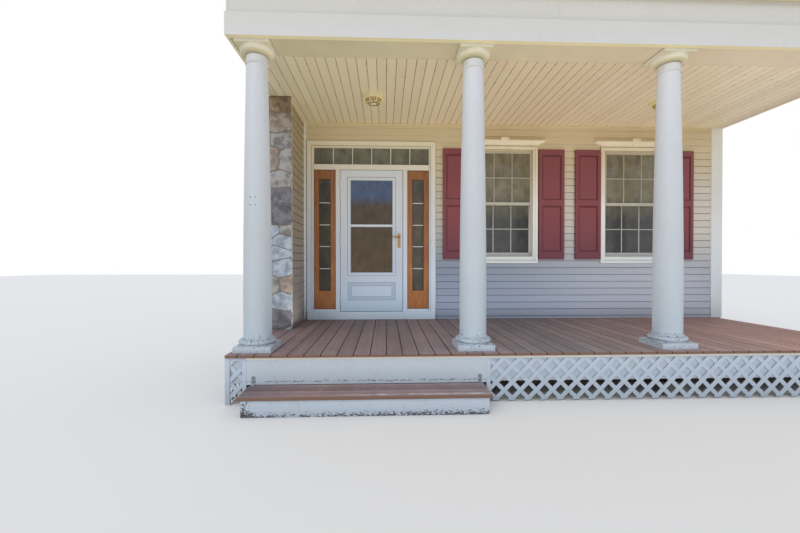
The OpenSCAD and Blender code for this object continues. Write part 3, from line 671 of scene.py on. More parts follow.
@dataclass(frozen=True)
class FieldStone(Finish):
    """Split field stone: brown, pink, lilac or blue-grey, rough and unpolished."""

    def draw(self, graph: Graph) -> None:
        """Lays out the stones' own tints, veins and broken surface.

        Args:
            graph: The material.
        """
        kind = graph.add("Attribute", out="Fac", attribute_name="rock")
        layers = []
        for shade in (0, 1):
            chart = graph.add("ValToRGB", {0: kind})
            chart.node.color_ramp.interpolation = "CONSTANT"
            marks = chart.node.color_ramp.elements
            marks.remove(marks[1])
            for index, rock in enumerate(Rock):
                mark = marks.new(index / len(Rock)) if index else marks[0]
                mark.color = linear(rock.value[shade])
            layers.append(chart)
        stone = graph.coat(graph.patches(0.09, 0.42, 0.62, detail=9), *layers)
        pale = graph.patches(0.03, 0.6, 0.78, detail=9, offset=4.0)
        dark = graph.patches(0.02, 0.6, 0.7, detail=9, offset=8.0)
        stone = graph.coat(dark, graph.coat(pale, stone, "b9b3aa"), "4f4b48", 0.5)
        graph.bump(graph.patches(0.025, 0.2, 0.8, detail=10), 0.007, 0.9)
        graph.set(Base_Color=stone, Roughness=0.85)


@dataclass(frozen=True)
class Mineral(Finish):
    """A cast or pressed mineral surface, such as concrete, mortar or shingle granules."""

    first: str = "a09d97"
    second: str = "8a8782"
    grain: float = 0.004
    relief: float = 0.0015

    def draw(self, graph: Graph) -> None:
        """Lays out the grit and the larger stains.

        Args:
            graph: The material.
        """
        grit = graph.patches(self.grain, 0.3, 0.7, detail=3)
        stain = graph.patches(0.3, 0.3, 0.7, detail=6, offset=1.0)
        base = graph.coat(stain, self.first, self.second)
        graph.bump(grit, self.relief, 0.7)
        graph.set(Base_Color=graph.coat(grit, base, "55534f", 0.35), Roughness=0.9)


@dataclass(frozen=True)
class Vinyl(Finish):
    """Moulded or extruded vinyl: even colour with a soft sheen and a breath of dust."""

    tones: Tones
    axis: str = "Z"
    roughness: float = 0.45
    sunk: Span | None = None

    def draw(self, graph: Graph) -> None:
        """Lays out the tone, the dust and the faint ripple of extruded plastic.

        Args:
            graph: The material.
        """
        dust = graph.patches(0.2, 0.3, 0.7, detail=7)
        skin = graph.mottled(dust, graph.toned(self.tones, self.axis), 1.02, 0.94)
        # Painted shade and dust: the deeper faces of recessed panels turn darker.
        if self.sunk:
            skin = graph.coat(graph.ramp("Y", *self.sunk), skin, "3a1c22", 0.4)
        graph.bump(graph.patches(0.03, stretch=(1, 8, 1)), 0.0006, 0.15)
        graph.set(Base_Color=skin, Roughness=self.roughness)


@dataclass(frozen=True)
class SoffitBoards(Finish):
    """Grooved vinyl soffit: some boards a little pinker, with darker brown grooves and specks in
    them.
    """

    start: float
    pitch: float
    tones: Tones = ((-2.4, "e2d7af"), (0.2, "e3cda9"), (2.6, "f8e7c5"))
    groove: Span = (0.462, 0.488)
    near: Span = (0.42, 0.5)

    def draw(self, graph: Graph) -> None:
        """Lays out the boards' tints, their darker grooves and the specks in them.

        Args:
            graph: The material.
        """
        chance, across = graph.strips("X", self.start, self.pitch)
        board = graph.coat(chance, graph.toned(self.tones, "X"), "d8bd9c", 0.35)
        middle = graph.add("Math", {0: across, 1: 0.5}, operation="SUBTRACT")
        side = graph.add("Math", {0: middle}, operation="ABSOLUTE")
        groove, near = (
            graph.add("MapRange", {"Value": side, "From Min": low, "From Max": high})
            for low, high in (self.groove, self.near)
        )
        board = graph.coat(groove, board, "8a5c34", 0.75)
        specks = graph.patches(0.02, 0.57, 0.64, (1, 2, 1), 5, 3.0)
        graph.set(Base_Color=graph.coat((near, specks), board, "3d3426"), Roughness=0.5)


@dataclass(frozen=True)
class Timber(Finish):
    """Wood, sawn or varnished: long grain with darker late rings."""

    light: str = "a9825a"
    dark: str = "7c5a3a"
    grain: Point = (1.0, 1.0, 14.0)
    roughness: float = 0.75
    coat: float = 0.0

    def draw(self, graph: Graph) -> None:
        """Lays out grain, pores and, on varnished wood, the clear coat.

        Args:
            graph: The material.
        """
        ring = graph.patches(0.018, 0.3, 0.7, stretch=self.grain, detail=6)
        pore = graph.patches(0.0035, 0.45, 0.75, stretch=self.grain, offset=3.0)
        wood = graph.coat(pore, graph.coat(ring, self.light, self.dark), "3a2617", 0.4)
        graph.bump(ring, 0.0008, 0.25)
        graph.set(Base_Color=wood, Roughness=self.roughness, Coat_Weight=self.coat)


@dataclass(frozen=True)
class Metal(Finish):
    """Bare or lacquered metal with faint wiping marks and tarnish."""

    face: str
    tarnish: str
    roughness: float = 0.4
    metallic: float = 1.0

    def draw(self, graph: Graph) -> None:
        """Lays out tarnish and a slightly uneven polish.

        Args:
            graph: The material.
        """
        spots = graph.patches(0.01, 0.4, 0.75, detail=6)
        tone = graph.coat(spots, self.face, self.tarnish)
        levels = {"Value": spots, "To Min": self.roughness, "To Max": self.roughness + 0.2}
        polish = graph.add("MapRange", levels)
        graph.set(Base_Color=tone, Roughness=polish, Metallic=self.metallic)


@dataclass(frozen=True)
class Pane(Finish):
    """Float glass, coloured as a painted view of the unlit room behind it, with painted
    reflections: dark, smooth, with a faint uneven film.
    """

    tones: Tones
    alpha: float = 1.0

    def draw(self, graph: Graph) -> None:
        """Lays out the painted dim room behind the glass, with patches of painted reflection, and
        the film on it.

        Args:
            graph: The material.
        """
        # Painted shade and reflection: the dark tones stand for the unlit room, the patches for
        # what the glass mirrors.
        dim = graph.patches(0.09, 0.3, 0.7, (1, 1, 1.6), 6)
        room = graph.mottled(dim, graph.toned(self.tones), 0.7, 1.3)
        film = graph.patches(0.15, 0.3, 0.7, offset=6.0)
        smear = graph.add("MapRange", {"Value": film, "To Min": 0.04, "To Max": 0.12})
        graph.set(Base_Color=room, Roughness=smear, Alpha=self.alpha)


@dataclass(frozen=True)
class Frosted(Finish):
    """Cloudy amber lamp glass, unlit, darker at its foot."""

    def draw(self, graph: Graph) -> None:
        """Lays out the cloudy glass.

        Args:
            graph: The material.
        """
        glass = graph.coat(graph.patches(0.03, 0.3, 0.7), "c8ac6a", "aa9052")
        foot = graph.ramp("Z", -0.6, -0.85, "Normal")
        graph.set(Base_Color=graph.coat(foot, glass, "4a3718", 0.9), Roughness=0.3)


@dataclass(frozen=True)
class Studio(Finish):
    """Seamless floor that is white to the camera, greyer to the object, and keeps the shadow."""

    def draw(self, graph: Graph) -> None:
        """Lays out the floor's two tones."""
        graph.set(Base_Color=graph.coat(graph.seen(), "a9a9a8", "fbfbfb"), Roughness=0.95)


# Painted light: darker, bluer white low down to warm white high up; the dark bands under the
# capital's lip and along the top are painted shadow lines.
COLUMN = Paint(
    "fibreglass_column_paint",
    tones=((0.48, "c5d1df"), (0.53, "b5c3d1"), (0.8, "b9c4cc"), (1.5, "c6ccd2"),
           (2.3, "d7dbe0"), (3.13, "e7e9ee"), (CAP - 0.101, "ebe8e0"), (CAP - 0.0985, "6f6248"),
           (CAP - 0.091, "6f6248"), (CAP - 0.088, "f5e7c0"), (CAP - 0.006, "f8f8ef"),
           (CAP - 0.003, "7d6a4a"), (CAP, "7d6a4a")),
    dirt=0.08, wear=Wear(0.53, 0.17, 0.57, chip=(0.8, 0.8, 0.7)), flecks=(0.66, 0.58),
)
# Painted light: blue-white low down, warming to cream under the roof.
TRIM = Paint("white_wood_trim",
             tones=((0.5, "cddff1"), (0.62, "becbdb"), (0.8, "b5c2d1"), (1.4, "c1c8d2"),
                    (2.3, "e3e1db"), (3.0, "f8edcf")),
             dirt=0.1, roughness=0.45)
# Painted shade: the white paint is tinted blue, as white looks in the sky's shade.
RISER = Paint("peeling_riser_paint", tones=((0.2, "c4d2dd"), (0.4, "c4ced7")), dirt=0.25,
              wear=Wear(0.208, 0.024, 0.504, chip=(1.7, 1.7, 0.6)))
# Painted shade: the white paint is tinted blue, as white looks in the sky's shade.
STEP_FACE = Paint("peeling_step_paint", tones=((0.0, "cad7e6"), (0.14, "d1deec")), dirt=0.3,
                  wear=Wear(0.0, 0.07, 0.468, worse=(-2.9, -1.3), corner=(-2.86, -2.97),
                            chip=(1.7, 1.7, 0.8)))
# Painted shade: the rim behind the lattice is a darker, bluer copy of the white paint.
SHADED_SKIRT = Paint("skirt_paint_shaded", tones=((0.0, "b5c1ce"), (0.4, "b9c5d2")), dirt=0.3)
# Painted shade: the white paint is tinted blue, as white looks in the sky's shade.
LATTICE = Paint("lattice_paint", tones=((0.0, "bfccda"), (0.4, "c2cfdd")), dirt=0.35)
# Painted light: faces that look down take a warm cream, as if lit from the sunlit ground.
FASCIA = Paint("coated_fascia", tones=((3.2, "e5e5e3"), (3.8, "e4e0d6")), under="efe0b0",
               dirt=0.12)
# Painted light: bluer low down and paler at the top; the sunk panels take painted shade and dust.
LEAF = Paint("storm_door_enamel", tones=((0.6, "aac0d7"), (1.2, "b5bdc9"), (2.5, "dfe4e6")),
             dirt=0.05, roughness=0.32, sunk=(1.0815, 1.0845))
# Painted light: blue-grey low down, warming to cream under the roof.
CORNER = Paint("corner_board_vinyl",
               tones=((0.6, "c6ced6"), (1.3, "d4dbdf"), (1.8, "e6e8ea"), (3.1, "f8f5e6")),
               dirt=0.05, roughness=0.45)
# Painted light: warm cream at the top, under the roof.
CHANNEL = Vinyl("siding_channel_vinyl", tones=((1.2, "d6d6d4"), (3.1, "ecd8a8")))
# Painted light: blue-grey low down, warm cream under the roof and lighter towards the right end;
# the lap line is part dirt, part painted shade.
SIDING = VinylSiding(
    "vinyl_siding",
    tones=((0.6, "8d9bb4"), (1.0, "7c8a9e"), (1.2, "7c8898"), (2.0, "ccc6b8"),
           (2.7, "e7d8b4"), (3.1, "ead8b0")),
    right=((0.6, "a3aaba"), (1.2, "a7abb5"), (1.75, "d5d0c7"), (2.34, "e7ded2"),
           (2.75, "e8d8b6"), (3.1, "ead8b0")),
)
# Painted shade: a darker copy of the siding for the side wall, with near-black painted shadow lines
# under the laps.
SHADED_SIDE_SIDING = VinylSiding("vinyl_siding_shaded", tones=((1.0, "87817e"), (3.1, "b9a886")),
                          lap="241d13", fading=0.0)
SOFFIT = Vinyl("beam_wrap_vinyl", tones=((-2.4, "d2c7a0"), (2.6, "ebd4b4")), axis="X")
# Painted shade: almond vinyl made darker for the shade of its recess, and warmer towards the top as
# painted light.
WINDOW = Vinyl("sash_vinyl", tones=((1.4, "bcc0bf"), (2.2, "c2bcaa"), (2.9, "c5b89b")),
               roughness=0.38)
# Painted light: darker and cooler low down, warm cream towards the roof.
CASING = Vinyl("window_casing_vinyl",
               tones=((1.3, "ccd0d0"), (2.1, "f8f4ee"), (2.9, "f0e0bc"), (3.1, "f8e9c6")))
# Painted shade: darker low down; the recessed panels take painted shade and dust.
SHUTTER = Vinyl("shutter_vinyl", tones=((1.3, "5f2e3c"), (2.1, "874549"), (2.9, "8d494d")),
                roughness=0.5, sunk=(1.0605, 1.0685))
BELL = Vinyl("bell_plastic", tones=((1.4, "d5d3ca"), (1.7, "d5d3ca")), roughness=0.3)
STONE = FieldStone("field_stone")
MORTAR = Mineral("mortar", first="9b9588", second="7f7a72", grain=0.003)
CONCRETE = Mineral("cast_concrete")
SHINGLE = Mineral("shingle_granules", first="4b4a4a", second="5d5a57", grain=0.006)
PLASTER = Mineral("inner_plaster", first="c9c6be", second="bfbcb4", grain=0.01, relief=0.0005)
JOIST = Timber("treated_timber", grain=(14.0, 1.0, 1.0))
OAK = Timber("varnished_sidelight_wood", light="a97037", dark="85481f", roughness=0.4, coat=0.3)
ENTRY_WOOD = Timber("varnished_entry_door", light="5e4030", dark="412a1f", roughness=0.45,
                    coat=0.3)
BEAD = Vinyl("creamy_rim_bead", tones=((0.4, "efeadb"), (0.43, "efeadb")), roughness=0.6)
# Part sealant, part painted shadow: dark lines where casings, frames and siding meet.
SEALANT_AND_SHADOW_LINE = Vinyl("sealant_and_shadow_line", tones=((0.6, "929ba7"), (1.5, "9a9995"), (3.0, "9a8a66")),
                roughness=0.7)
# Part gasket, part painted shadow: dark lines round the storm door's moulding, glass and panels.
GASKET_AND_SHADOW_LINE = Vinyl("gasket_and_shadow_line", tones=((0.6, "8094aa"), (2.5, "959ca2")), roughness=0.6)
# Part stain, part painted shadow: dark lines round the sidelights' frames and glass.
EDGE_STAIN_AND_SHADOW = Timber("edge_stain_and_shadow", light="54301a", dark="3d2212", roughness=0.5)
STEEL = Metal("galvanised_steel", face="a3adb8", tarnish="79828c", metallic=0.5)
SCREW = Metal("weathered_screw", face="38332f", tarnish="252220", roughness=0.7, metallic=0.0)
BRASS = Metal("lacquered_brass", face="c39b62", tarnish="8a6c3c", roughness=0.3)
LAMP_METAL = Metal("almond_lamp_enamel", face="f8ebba", tarnish="ecd8a0", roughness=0.45,
                   metallic=0.0)
LAMP_GLASS = Frosted("lamp_glass")
# Painted reflection: the upper sashes turn lighter and browner towards the top.
GLASS = Pane("window_glass", tones=((1.9, "404041"), (2.3, "7b745d")))
# Painted reflection: the transom's glass is lighter than the sidelights'.
SIDE_GLASS = Pane("door_unit_glass", tones=((1.2, "423e32"), (1.8, "4d4637"), (2.4, "48433a"),
                                            (2.65, "747263"), (2.7, "747263")))
# Painted reflection: the top of the glass turns blue, as the sky mirrored in it.
STORM_GLASS = Pane("storm_door_glass", tones=((1.5, "4f4026"), (2.1, "4e4330"), (2.23, "4b5f81")),
                   alpha=0.88)


def hand_over(
    obj: Object, finish: Finish, body: str = BODY, replaced: Sequence[str] = ()
) -> None:
    """Gives a finished piece its material and puts it on its body.

    Args:
        obj: The finished piece.
        finish: Its surface finish.
        body: The body that carries it.
        replaced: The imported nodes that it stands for.
    """
    obj.data.materials.clear()
    obj.data.materials.append(finish.material())
    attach(obj, body)
    if replaced:
        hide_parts(*replaced)
    LOG.info("%s: %d faces, %s", obj.name, len(obj.data.polygons), finish.name)


# ---------------------------------------------------------------- the porch


@dataclass(frozen=True)
class Site:
    """The lines that the porch is laid out on, from the left deck edge, wall face and ground.

    Heights of the windows and of the sidelights' glass are above the deck.
    """

    left: float
    wall: float
    deck: float
    ceiling: float
    deck_w: float = 6.38
    side_wall: float = 0.23
    stone_edge: float = 0.26
    stone_face: float = -0.865
    stone_back: float = -0.805
    roof_left: float = -0.012
    roof_right: float = 6.475
    casing: Span = (0.2775, 2.1425)
    sidelights: Span = (0.3755, 1.7295)
    sidelight_glass: tuple[Span, Span] = ((0.08, 0.235), (0.42, 2.028))
    window_middles: Span = (3.15, 5.115)
    window_half: float = 0.507
    window_z: Span = (0.817, 2.542)
    margin: float = 0.1

    @classmethod
    def read(cls) -> Site:
        """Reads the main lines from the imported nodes."""
        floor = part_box("deck_floor")
        return cls(
            left=floor[0][0],
            wall=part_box("foundation")[0][1],
            deck=floor[1][2],
            ceiling=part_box("ceiling")[0][2],
        )

    def at(self, x: float, y: float, z: float) -> Point:
        """Gives the point x from the left deck edge, y behind the wall face, z above ground."""
        return self.left + x, self.wall + y, z

    def box(self, x: Span, y: Span, z: Span) -> tuple[Point, Point]:
        """Gives the lowest and highest corner of a box that is measured in the same way."""
        return self.at(x[0], y[0], z[0]), self.at(x[1], y[1], z[1])

    def above_deck(self, z: Span) -> Span:
        """Gives two heights above ground for two above the deck."""
        return self.deck + z[0], self.deck + z[1]

    def windows(self) -> list[tuple[Span, Span]]:
        """Gives the sides and the lower and upper edge of each window's casing."""
        half, z = self.window_half, self.above_deck(self.window_z)
        return [((middle - half, middle + half), z) for middle in self.window_middles]

    def side_wall_boxes(self, z: Span) -> list[tuple[Point, Point]]:
        """Gives the room that the stone facing and the side wall take up at some heights."""
        return [
            self.box((-self.margin, self.stone_edge), (self.stone_face, self.stone_back), z),
            self.box((-self.margin, self.side_wall), (self.stone_back - HAIR, self.margin), z),
        ]


@dataclass
class Assembly:
    """A part of the porch, laid out on its lines and built by its steps in order."""

    site: Site

    def steps(self) -> tuple[Callable[[], None], ...]:
        """Gives the methods that build it."""
        raise NotImplementedError

    def build(self) -> None:
        """Builds the whole part."""
        for step in self.steps():
            step()


@dataclass
class LapSiding(Assembly):
    """Vinyl lap siding on the front wall and on the side wall that faces the porch."""

    first: float = -0.0606
    butt: float = 0.013
    head: float = 0.002
    gap: float = 0.0004
    arris: float = 0.0015
    corner_trim: float = 0.034
    inner_corner: float = -0.024
    lip: float = 0.058
    corner_board: float = 0.165
    door_foot: float = 0.44
    channel: float = 0.02
    channel_h: float = 0.016
    channel_round: float = 0.003
    over_roof: float = 0.006

    def courses(self, name: str, low: Point, high: Point, out: Point) -> Object:
        """Lays courses over one flat rectangle.

        Args:
            name: Name of the sheet.
            low: Lowest corner, on the wall face.
            high: Highest corner, on the wall face.
            out: Unit vector away from the wall.

        Returns:
            The sheet of courses.
        """
        reach = [o * self.butt for o in out]
        start = self.site.deck + self.first
        start += math.floor((low[2] - start) / COURSE) * COURSE
        first = [min(a, a + r) for a, r in zip(low[:2], reach)] + [start]
        last = [max(a, a + r) for a, r in zip(high[:2], reach)] + [start + COURSE - self.gap]
        sheet = block(name, first, last)
        outward = Vector(out)
        front = Vector(low).dot(outward) + self.butt / 2
        shift(
            sheet,
            [-o * (self.butt - self.head) for o in out],
            lambda v: v.co.z > last[2] - self.gap and v.co.dot(outward) > front,
        )
        ease(sheet, self.arris, lambda e: all(
            v.co.z < start + self.gap and v.co.dot(outward) > front for v in e.verts
        ))
        repeat(sheet, math.ceil((high[2] - start) / COURSE), (0, 0, COURSE))
        trim(sheet, high, (0, 0, 1))
        trim(sheet, low, (0, 0, -1))
        return sheet

    def front(self) -> None:
        """Sides the front wall round the door unit and the windows."""
        site = self.site
        sheet = self.courses(
            "front_siding",
            site.at(site.side_wall + self.corner_trim, 0, site.deck),
            site.at(site.roof_right - self.corner_board, 0, site.ceiling),
            (0, -1, 0),
        )
        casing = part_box("door_casing")[1]
        door = (site.at(site.casing[0], -site.margin, self.door_foot),
                (casing[0], site.wall + site.margin, casing[2]))
        through = (-site.margin, site.margin)
        carve(sheet, [door] + [site.box(x, through, z) for x, z in site.windows()])
        hand_over(sheet, SIDING)

    def side(self) -> None:
        """Sides the return wall at the left and the strip above the roof."""
        site = self.site
        sheet = self.courses(
            "side_siding",
            site.at(site.side_wall, site.stone_back, site.deck),
            site.at(site.side_wall, self.inner_corner, site.ceiling),
            (1, 0, 0),
        )
        hand_over(sheet, SHADED_SIDE_SIDING)
        strip = self.courses(
            "upper_siding",
            site.at(site.side_wall, 0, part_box("roof")[1][2] + self.over_roof),
            site.at(site.roof_right, 0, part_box("wall_header")[1][2]),
            (0, -1, 0),
        )
        hand_over(strip, SIDING)

    def channels(self) -> None:
        """Adds the slim channels where the siding ends."""
        site = self.site
        side = (site.side_wall, site.side_wall + self.channel)
        along = (site.side_wall + self.corner_trim, site.roof_right - self.corner_board)
        lip, top = site.stone_back + self.lip, (site.ceiling - self.channel_h, site.ceiling)
        channel = join("siding_channels", [
            block("channel", *site.box(x, y, z)) for x, y, z in (
                (side, (site.stone_back, lip), (site.deck, site.ceiling)),
                (along, (-self.channel, 0), top),
                (side, (lip, self.inner_corner), top),
            )
        ])
        ease(channel, self.channel_round, steps=1)
        hand_over(channel, CHANNEL)

    def steps(self) -> tuple[Callable[[], None], ...]:
        """Names the front wall, the side wall and the channels."""
        return self.front, self.side, self.channels


@dataclass
class StoneFacing(Assembly):
    """Mortared field stone on the front of the side wall."""

    joint: float = 0.009
    inset: float = 0.012
    corner: float = 0.03
    arris: float = 0.013
    reach: float = 0.35
    recess: float = 0.016
    neighbours: int = 8
    lean: float = 0.03
    jitter: float = 0.025
    relief: float = 0.012
    wave: float = 0.04
    clouds: Point = (0.06, 0.09, 0.12)
    bed_sides: Span = (0.002, 0.008)
    bed_recess: float = 0.02
    bed_round: float = 0.002
    side_depth: float = 0.02
    smooth_below: float = 40.0
    seed: int = 11
    rows: tuple[tuple[float, tuple[Rock, ...]], ...] = (
        (0.24, (Rock.BLUE,)), (0.2, (Rock.GREY, Rock.BLUE)), (0.25, (Rock.LILAC,)),
        (0.21, (Rock.BLUE,)), (0.19, (Rock.GREY, Rock.PINK)), (0.21, (Rock.BLUE,)),
        (0.16, (Rock.BLUE,)), (0.15, (Rock.BLUE,)), (0.11, (Rock.BLUE, Rock.GREY)),
        (0.47, (Rock.LILAC,)), (0.21, (Rock.GREY,)),
        (0.26, (Rock.PINK, Rock.GREY)), (0.2, (Rock.GREY,)), (0.24, (Rock.TAN,)),
        (0.24, (Rock.BROWN,)), (0.22, (Rock.TAN, Rock.GREY)), (0.26, (Rock.GREY,)),
        (0.22, (Rock.PINK, Rock.BROWN)), (0.25, (Rock.TAN,)), (0.22, (Rock.BROWN,)),
    )

    def seeds(self) -> list[tuple[float, float, float, Rock]]:
        """Finds the middle of each stone, row by row from the ground.

        Returns:
            Distance from the left deck edge, height, half the row's height, and kind.
        """
        chance = random.Random(self.seed)
        spots = []
        foot = 0.0
        for height, kinds in self.rows:
            width = (self.site.stone_edge - self.site.roof_left) / len(kinds)
            lean = chance.uniform(-self.lean, self.lean)
            for k, rock in enumerate(kinds):
                stray = chance.uniform(-self.jitter, self.jitter)
                spots.append((
                    self.site.roof_left + width * (k + 0.5) + stray,
                    foot + height / 2 + lean * k,
                    height / 2,
                    rock,
                ))
            foot += height
        return spots

    def stone(self, spot: tuple, others: Sequence[tuple], relief: float) -> Object:
        """Cuts one stone out between its neighbours.

        Args:
            spot: The stone's middle, half height and kind.
            others: The same of the rest.
            relief: How far its face stands out.

        Returns:
            The stone.
        """
        site, reach = self.site, self.reach
        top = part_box("stone_veneer")[1][2] - self.inset
        face = site.stone_face + self.recess - relief
        left = max(spot[0] - reach, site.roof_left + self.inset)
        stone = block("stone", *site.box(
            (left, min(spot[0] + reach, site.stone_edge)),
            (face, site.stone_back),
            (max(spot[1] - reach, self.inset), min(spot[1] + reach, top)),
        ))
        near = sorted(others, key=lambda o: math.dist(o[:2], spot[:2]))[: self.neighbours]
        for other in near:
            dx, dz = other[0] - spot[0], other[1] - spot[1]
            share = spot[2] / (spot[2] + other[2]) - self.joint / 2 / math.hypot(dx, dz)
            trim(stone, site.at(spot[0] + dx * share, 0, spot[1] + dz * share), (dx, 0, dz))
        deep, front = self.side_depth, site.wall + face + 2 * HAIR
        ease(stone, self.corner, lambda e: abs(e.verts[0].co.y - e.verts[1].co.y) > deep, 3)
        ease(stone, self.arris, lambda e: max(v.co.y for v in e.verts) < front, 3)
        return stone

    def roughen(self, facing: Object, width: float, depth: float, direction: str) -> None:
        """Displaces all the faces by a cloudy pattern.

        Args:
            facing: The stones as one object.
            width: Width of the pattern's clouds.
            depth: Depth of the displacement.
            direction: Blender's name for its direction.
        """
        clouds = bpy.data.textures.new("broken_face", "CLOUDS")
        clouds.noise_scale = width
        modify(facing, "DISPLACE", texture=clouds, strength=depth, direction=direction,
               texture_coords="LOCAL")

    def stones(self) -> None:
        """Cuts all the stones and roughens them."""
        chance = random.Random(self.seed + 1)
        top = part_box("stone_veneer")[1][2]
        spots = [spot for spot in self.seeds() if spot[1] < top]
        kinds = list(Rock)
        stones = []
        for index, spot in enumerate(spots):
            others = spots[:index] + spots[index + 1 :]
            stone = self.stone(spot, others, chance.uniform(0, self.relief))
            rock = stone.data.attributes.new("rock", "FLOAT", "FACE")
            share = (kinds.index(spot[3]) + 0.5) / len(kinds)
            rock.data.foreach_set("value", [share] * len(stone.data.polygons))
            stones.append(stone)
        facing = join("field_stones", stones)
        modify(facing, "SUBSURF", levels=2, render_levels=2, subdivision_type="SIMPLE")
        depths = (self.relief, self.wave, self.wave)
        for width, depth, way in zip(self.clouds, depths, ("NORMAL", "X", "Z")):
            self.roughen(facing, width, depth, way)
        bpy.ops.object.shade_smooth_by_angle(angle=math.radians(self.smooth_below))
        hand_over(facing, STONE, replaced=["stone_veneer"])

    def mortar(self) -> None:
        """Lays the mortar bed behind the stones."""
        site, top = self.site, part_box("stone_veneer")[1][2]
        left, right = self.bed_sides
        bed = block("mortar_bed", *site.box(
            (site.roof_left + left, site.stone_edge - right),
            (site.stone_face + self.bed_recess, site.stone_back), (0, top),
        ))
        ease(bed, self.bed_round, steps=1)
        hand_over(bed, MORTAR)

    def steps(self) -> tuple[Callable[[], None], ...]:
        """Names the stones and the mortar."""
        return self.stones, self.mortar


@dataclass
class DeckBoards(Assembly):
    """Composite boards of the deck and of the step."""

    width: float = 0.14
    round_over: float = 0.003
    in_gap: float = 0.004
    notch: Span = (0.3, 0.6)
    tread_gap: float = 0.008
    tread_round: float = 0.006

    def floor(self) -> None:
        """Lays the deck from its right edge."""
        low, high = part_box("deck_floor")
        board = block("deck_boards", (high[0] - self.width, low[1], low[2]), high)
        ease(board, self.round_over, lambda e: max(v.co.z for v in e.verts) > high[2] - HAIR)
        repeat(board, math.ceil((high[0] - low[0]) / BOARD), (-BOARD, 0, 0))
        trim(board, low, (-1, 0, 0))
        carve(board, self.site.side_wall_boxes(self.notch))
        ends = float(low[0]) + self.in_gap, float(high[0]) - self.in_gap
        finish = Decking("deck_boards_composite", BOARD, float(high[0]), gaps=ends)
        hand_over(board, finish, replaced=["deck_floor"])

    def treads(self) -> None:
        """Rounds the two boards of the step."""
        low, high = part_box("step_treads")
        depth = (high[1] - low[1] - self.tread_gap) / 2
        pitch, front = depth + self.tread_gap, float(low[1])
        board = block("step_boards", low, (high[0], low[1] + depth, high[2]))
        ease(board, self.tread_round, steps=3)
        repeat(board, 2, (0, pitch, 0))
        finish = Decking(
            "step_boards_composite", pitch, front, axis="Y", worn_edge=front, streaks=0.28,
            band=0.06, tones=((-3.0, "7a7078"), (-2.5, "a1888a"), (-1.0, "9f9098")),
        )
        hand_over(board, finish, replaced=["step_treads"])

    def steps(self) -> tuple[Callable[[], None], ...]:
        """Names the deck and the step."""
        return self.floor, self.treads


@dataclass
class CeilingBoards(Assembly):
    """Grooved soffit boards that run from the beam to the wall."""

    groove: float = 0.005
    gap: float = 0.0006
    groove_line: float = 3.15
    beam_soffit: float = 0.356

    def boards(self) -> None:
        """Lays the boards and notches them round the beam and the side wall."""
        site = self.site
        low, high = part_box("ceiling")
        start = site.left + self.groove_line
        start -= math.ceil((start - low[0]) / COURSE) * COURSE
        boards = block("ceiling_boards", (start, low[1], low[2]),
                       (start + COURSE - self.gap, high[1], high[2]))
        ease(
            boards, self.groove,
            lambda e: all(v.co.z < low[2] + HAIR for v in e.verts)
            and abs(e.verts[0].co.x - e.verts[1].co.x) < HAIR,
            steps=1,
        )
        repeat(boards, math.ceil((high[0] - start) / COURSE), (COURSE, 0, 0))
        trim(boards, low, (-1, 0, 0))
        trim(boards, high, (1, 0, 0))
        z = (low[2] - site.margin, high[2] + site.margin)
        beam = ((site.left + self.beam_soffit, low[1] - site.margin, z[0]),
                (high[0] + site.margin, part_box("end_beams")[0][1], z[1]))
        carve(boards, [beam, *site.side_wall_boxes(z)])
        finish = SoffitBoards("soffit_boards", float(start) - self.gap / 2, COURSE)
        hand_over(boards, finish, replaced=["ceiling"])

    def steps(self) -> tuple[Callable[[], None], ...]:
        """Names the boards."""
        return (self.boards,)


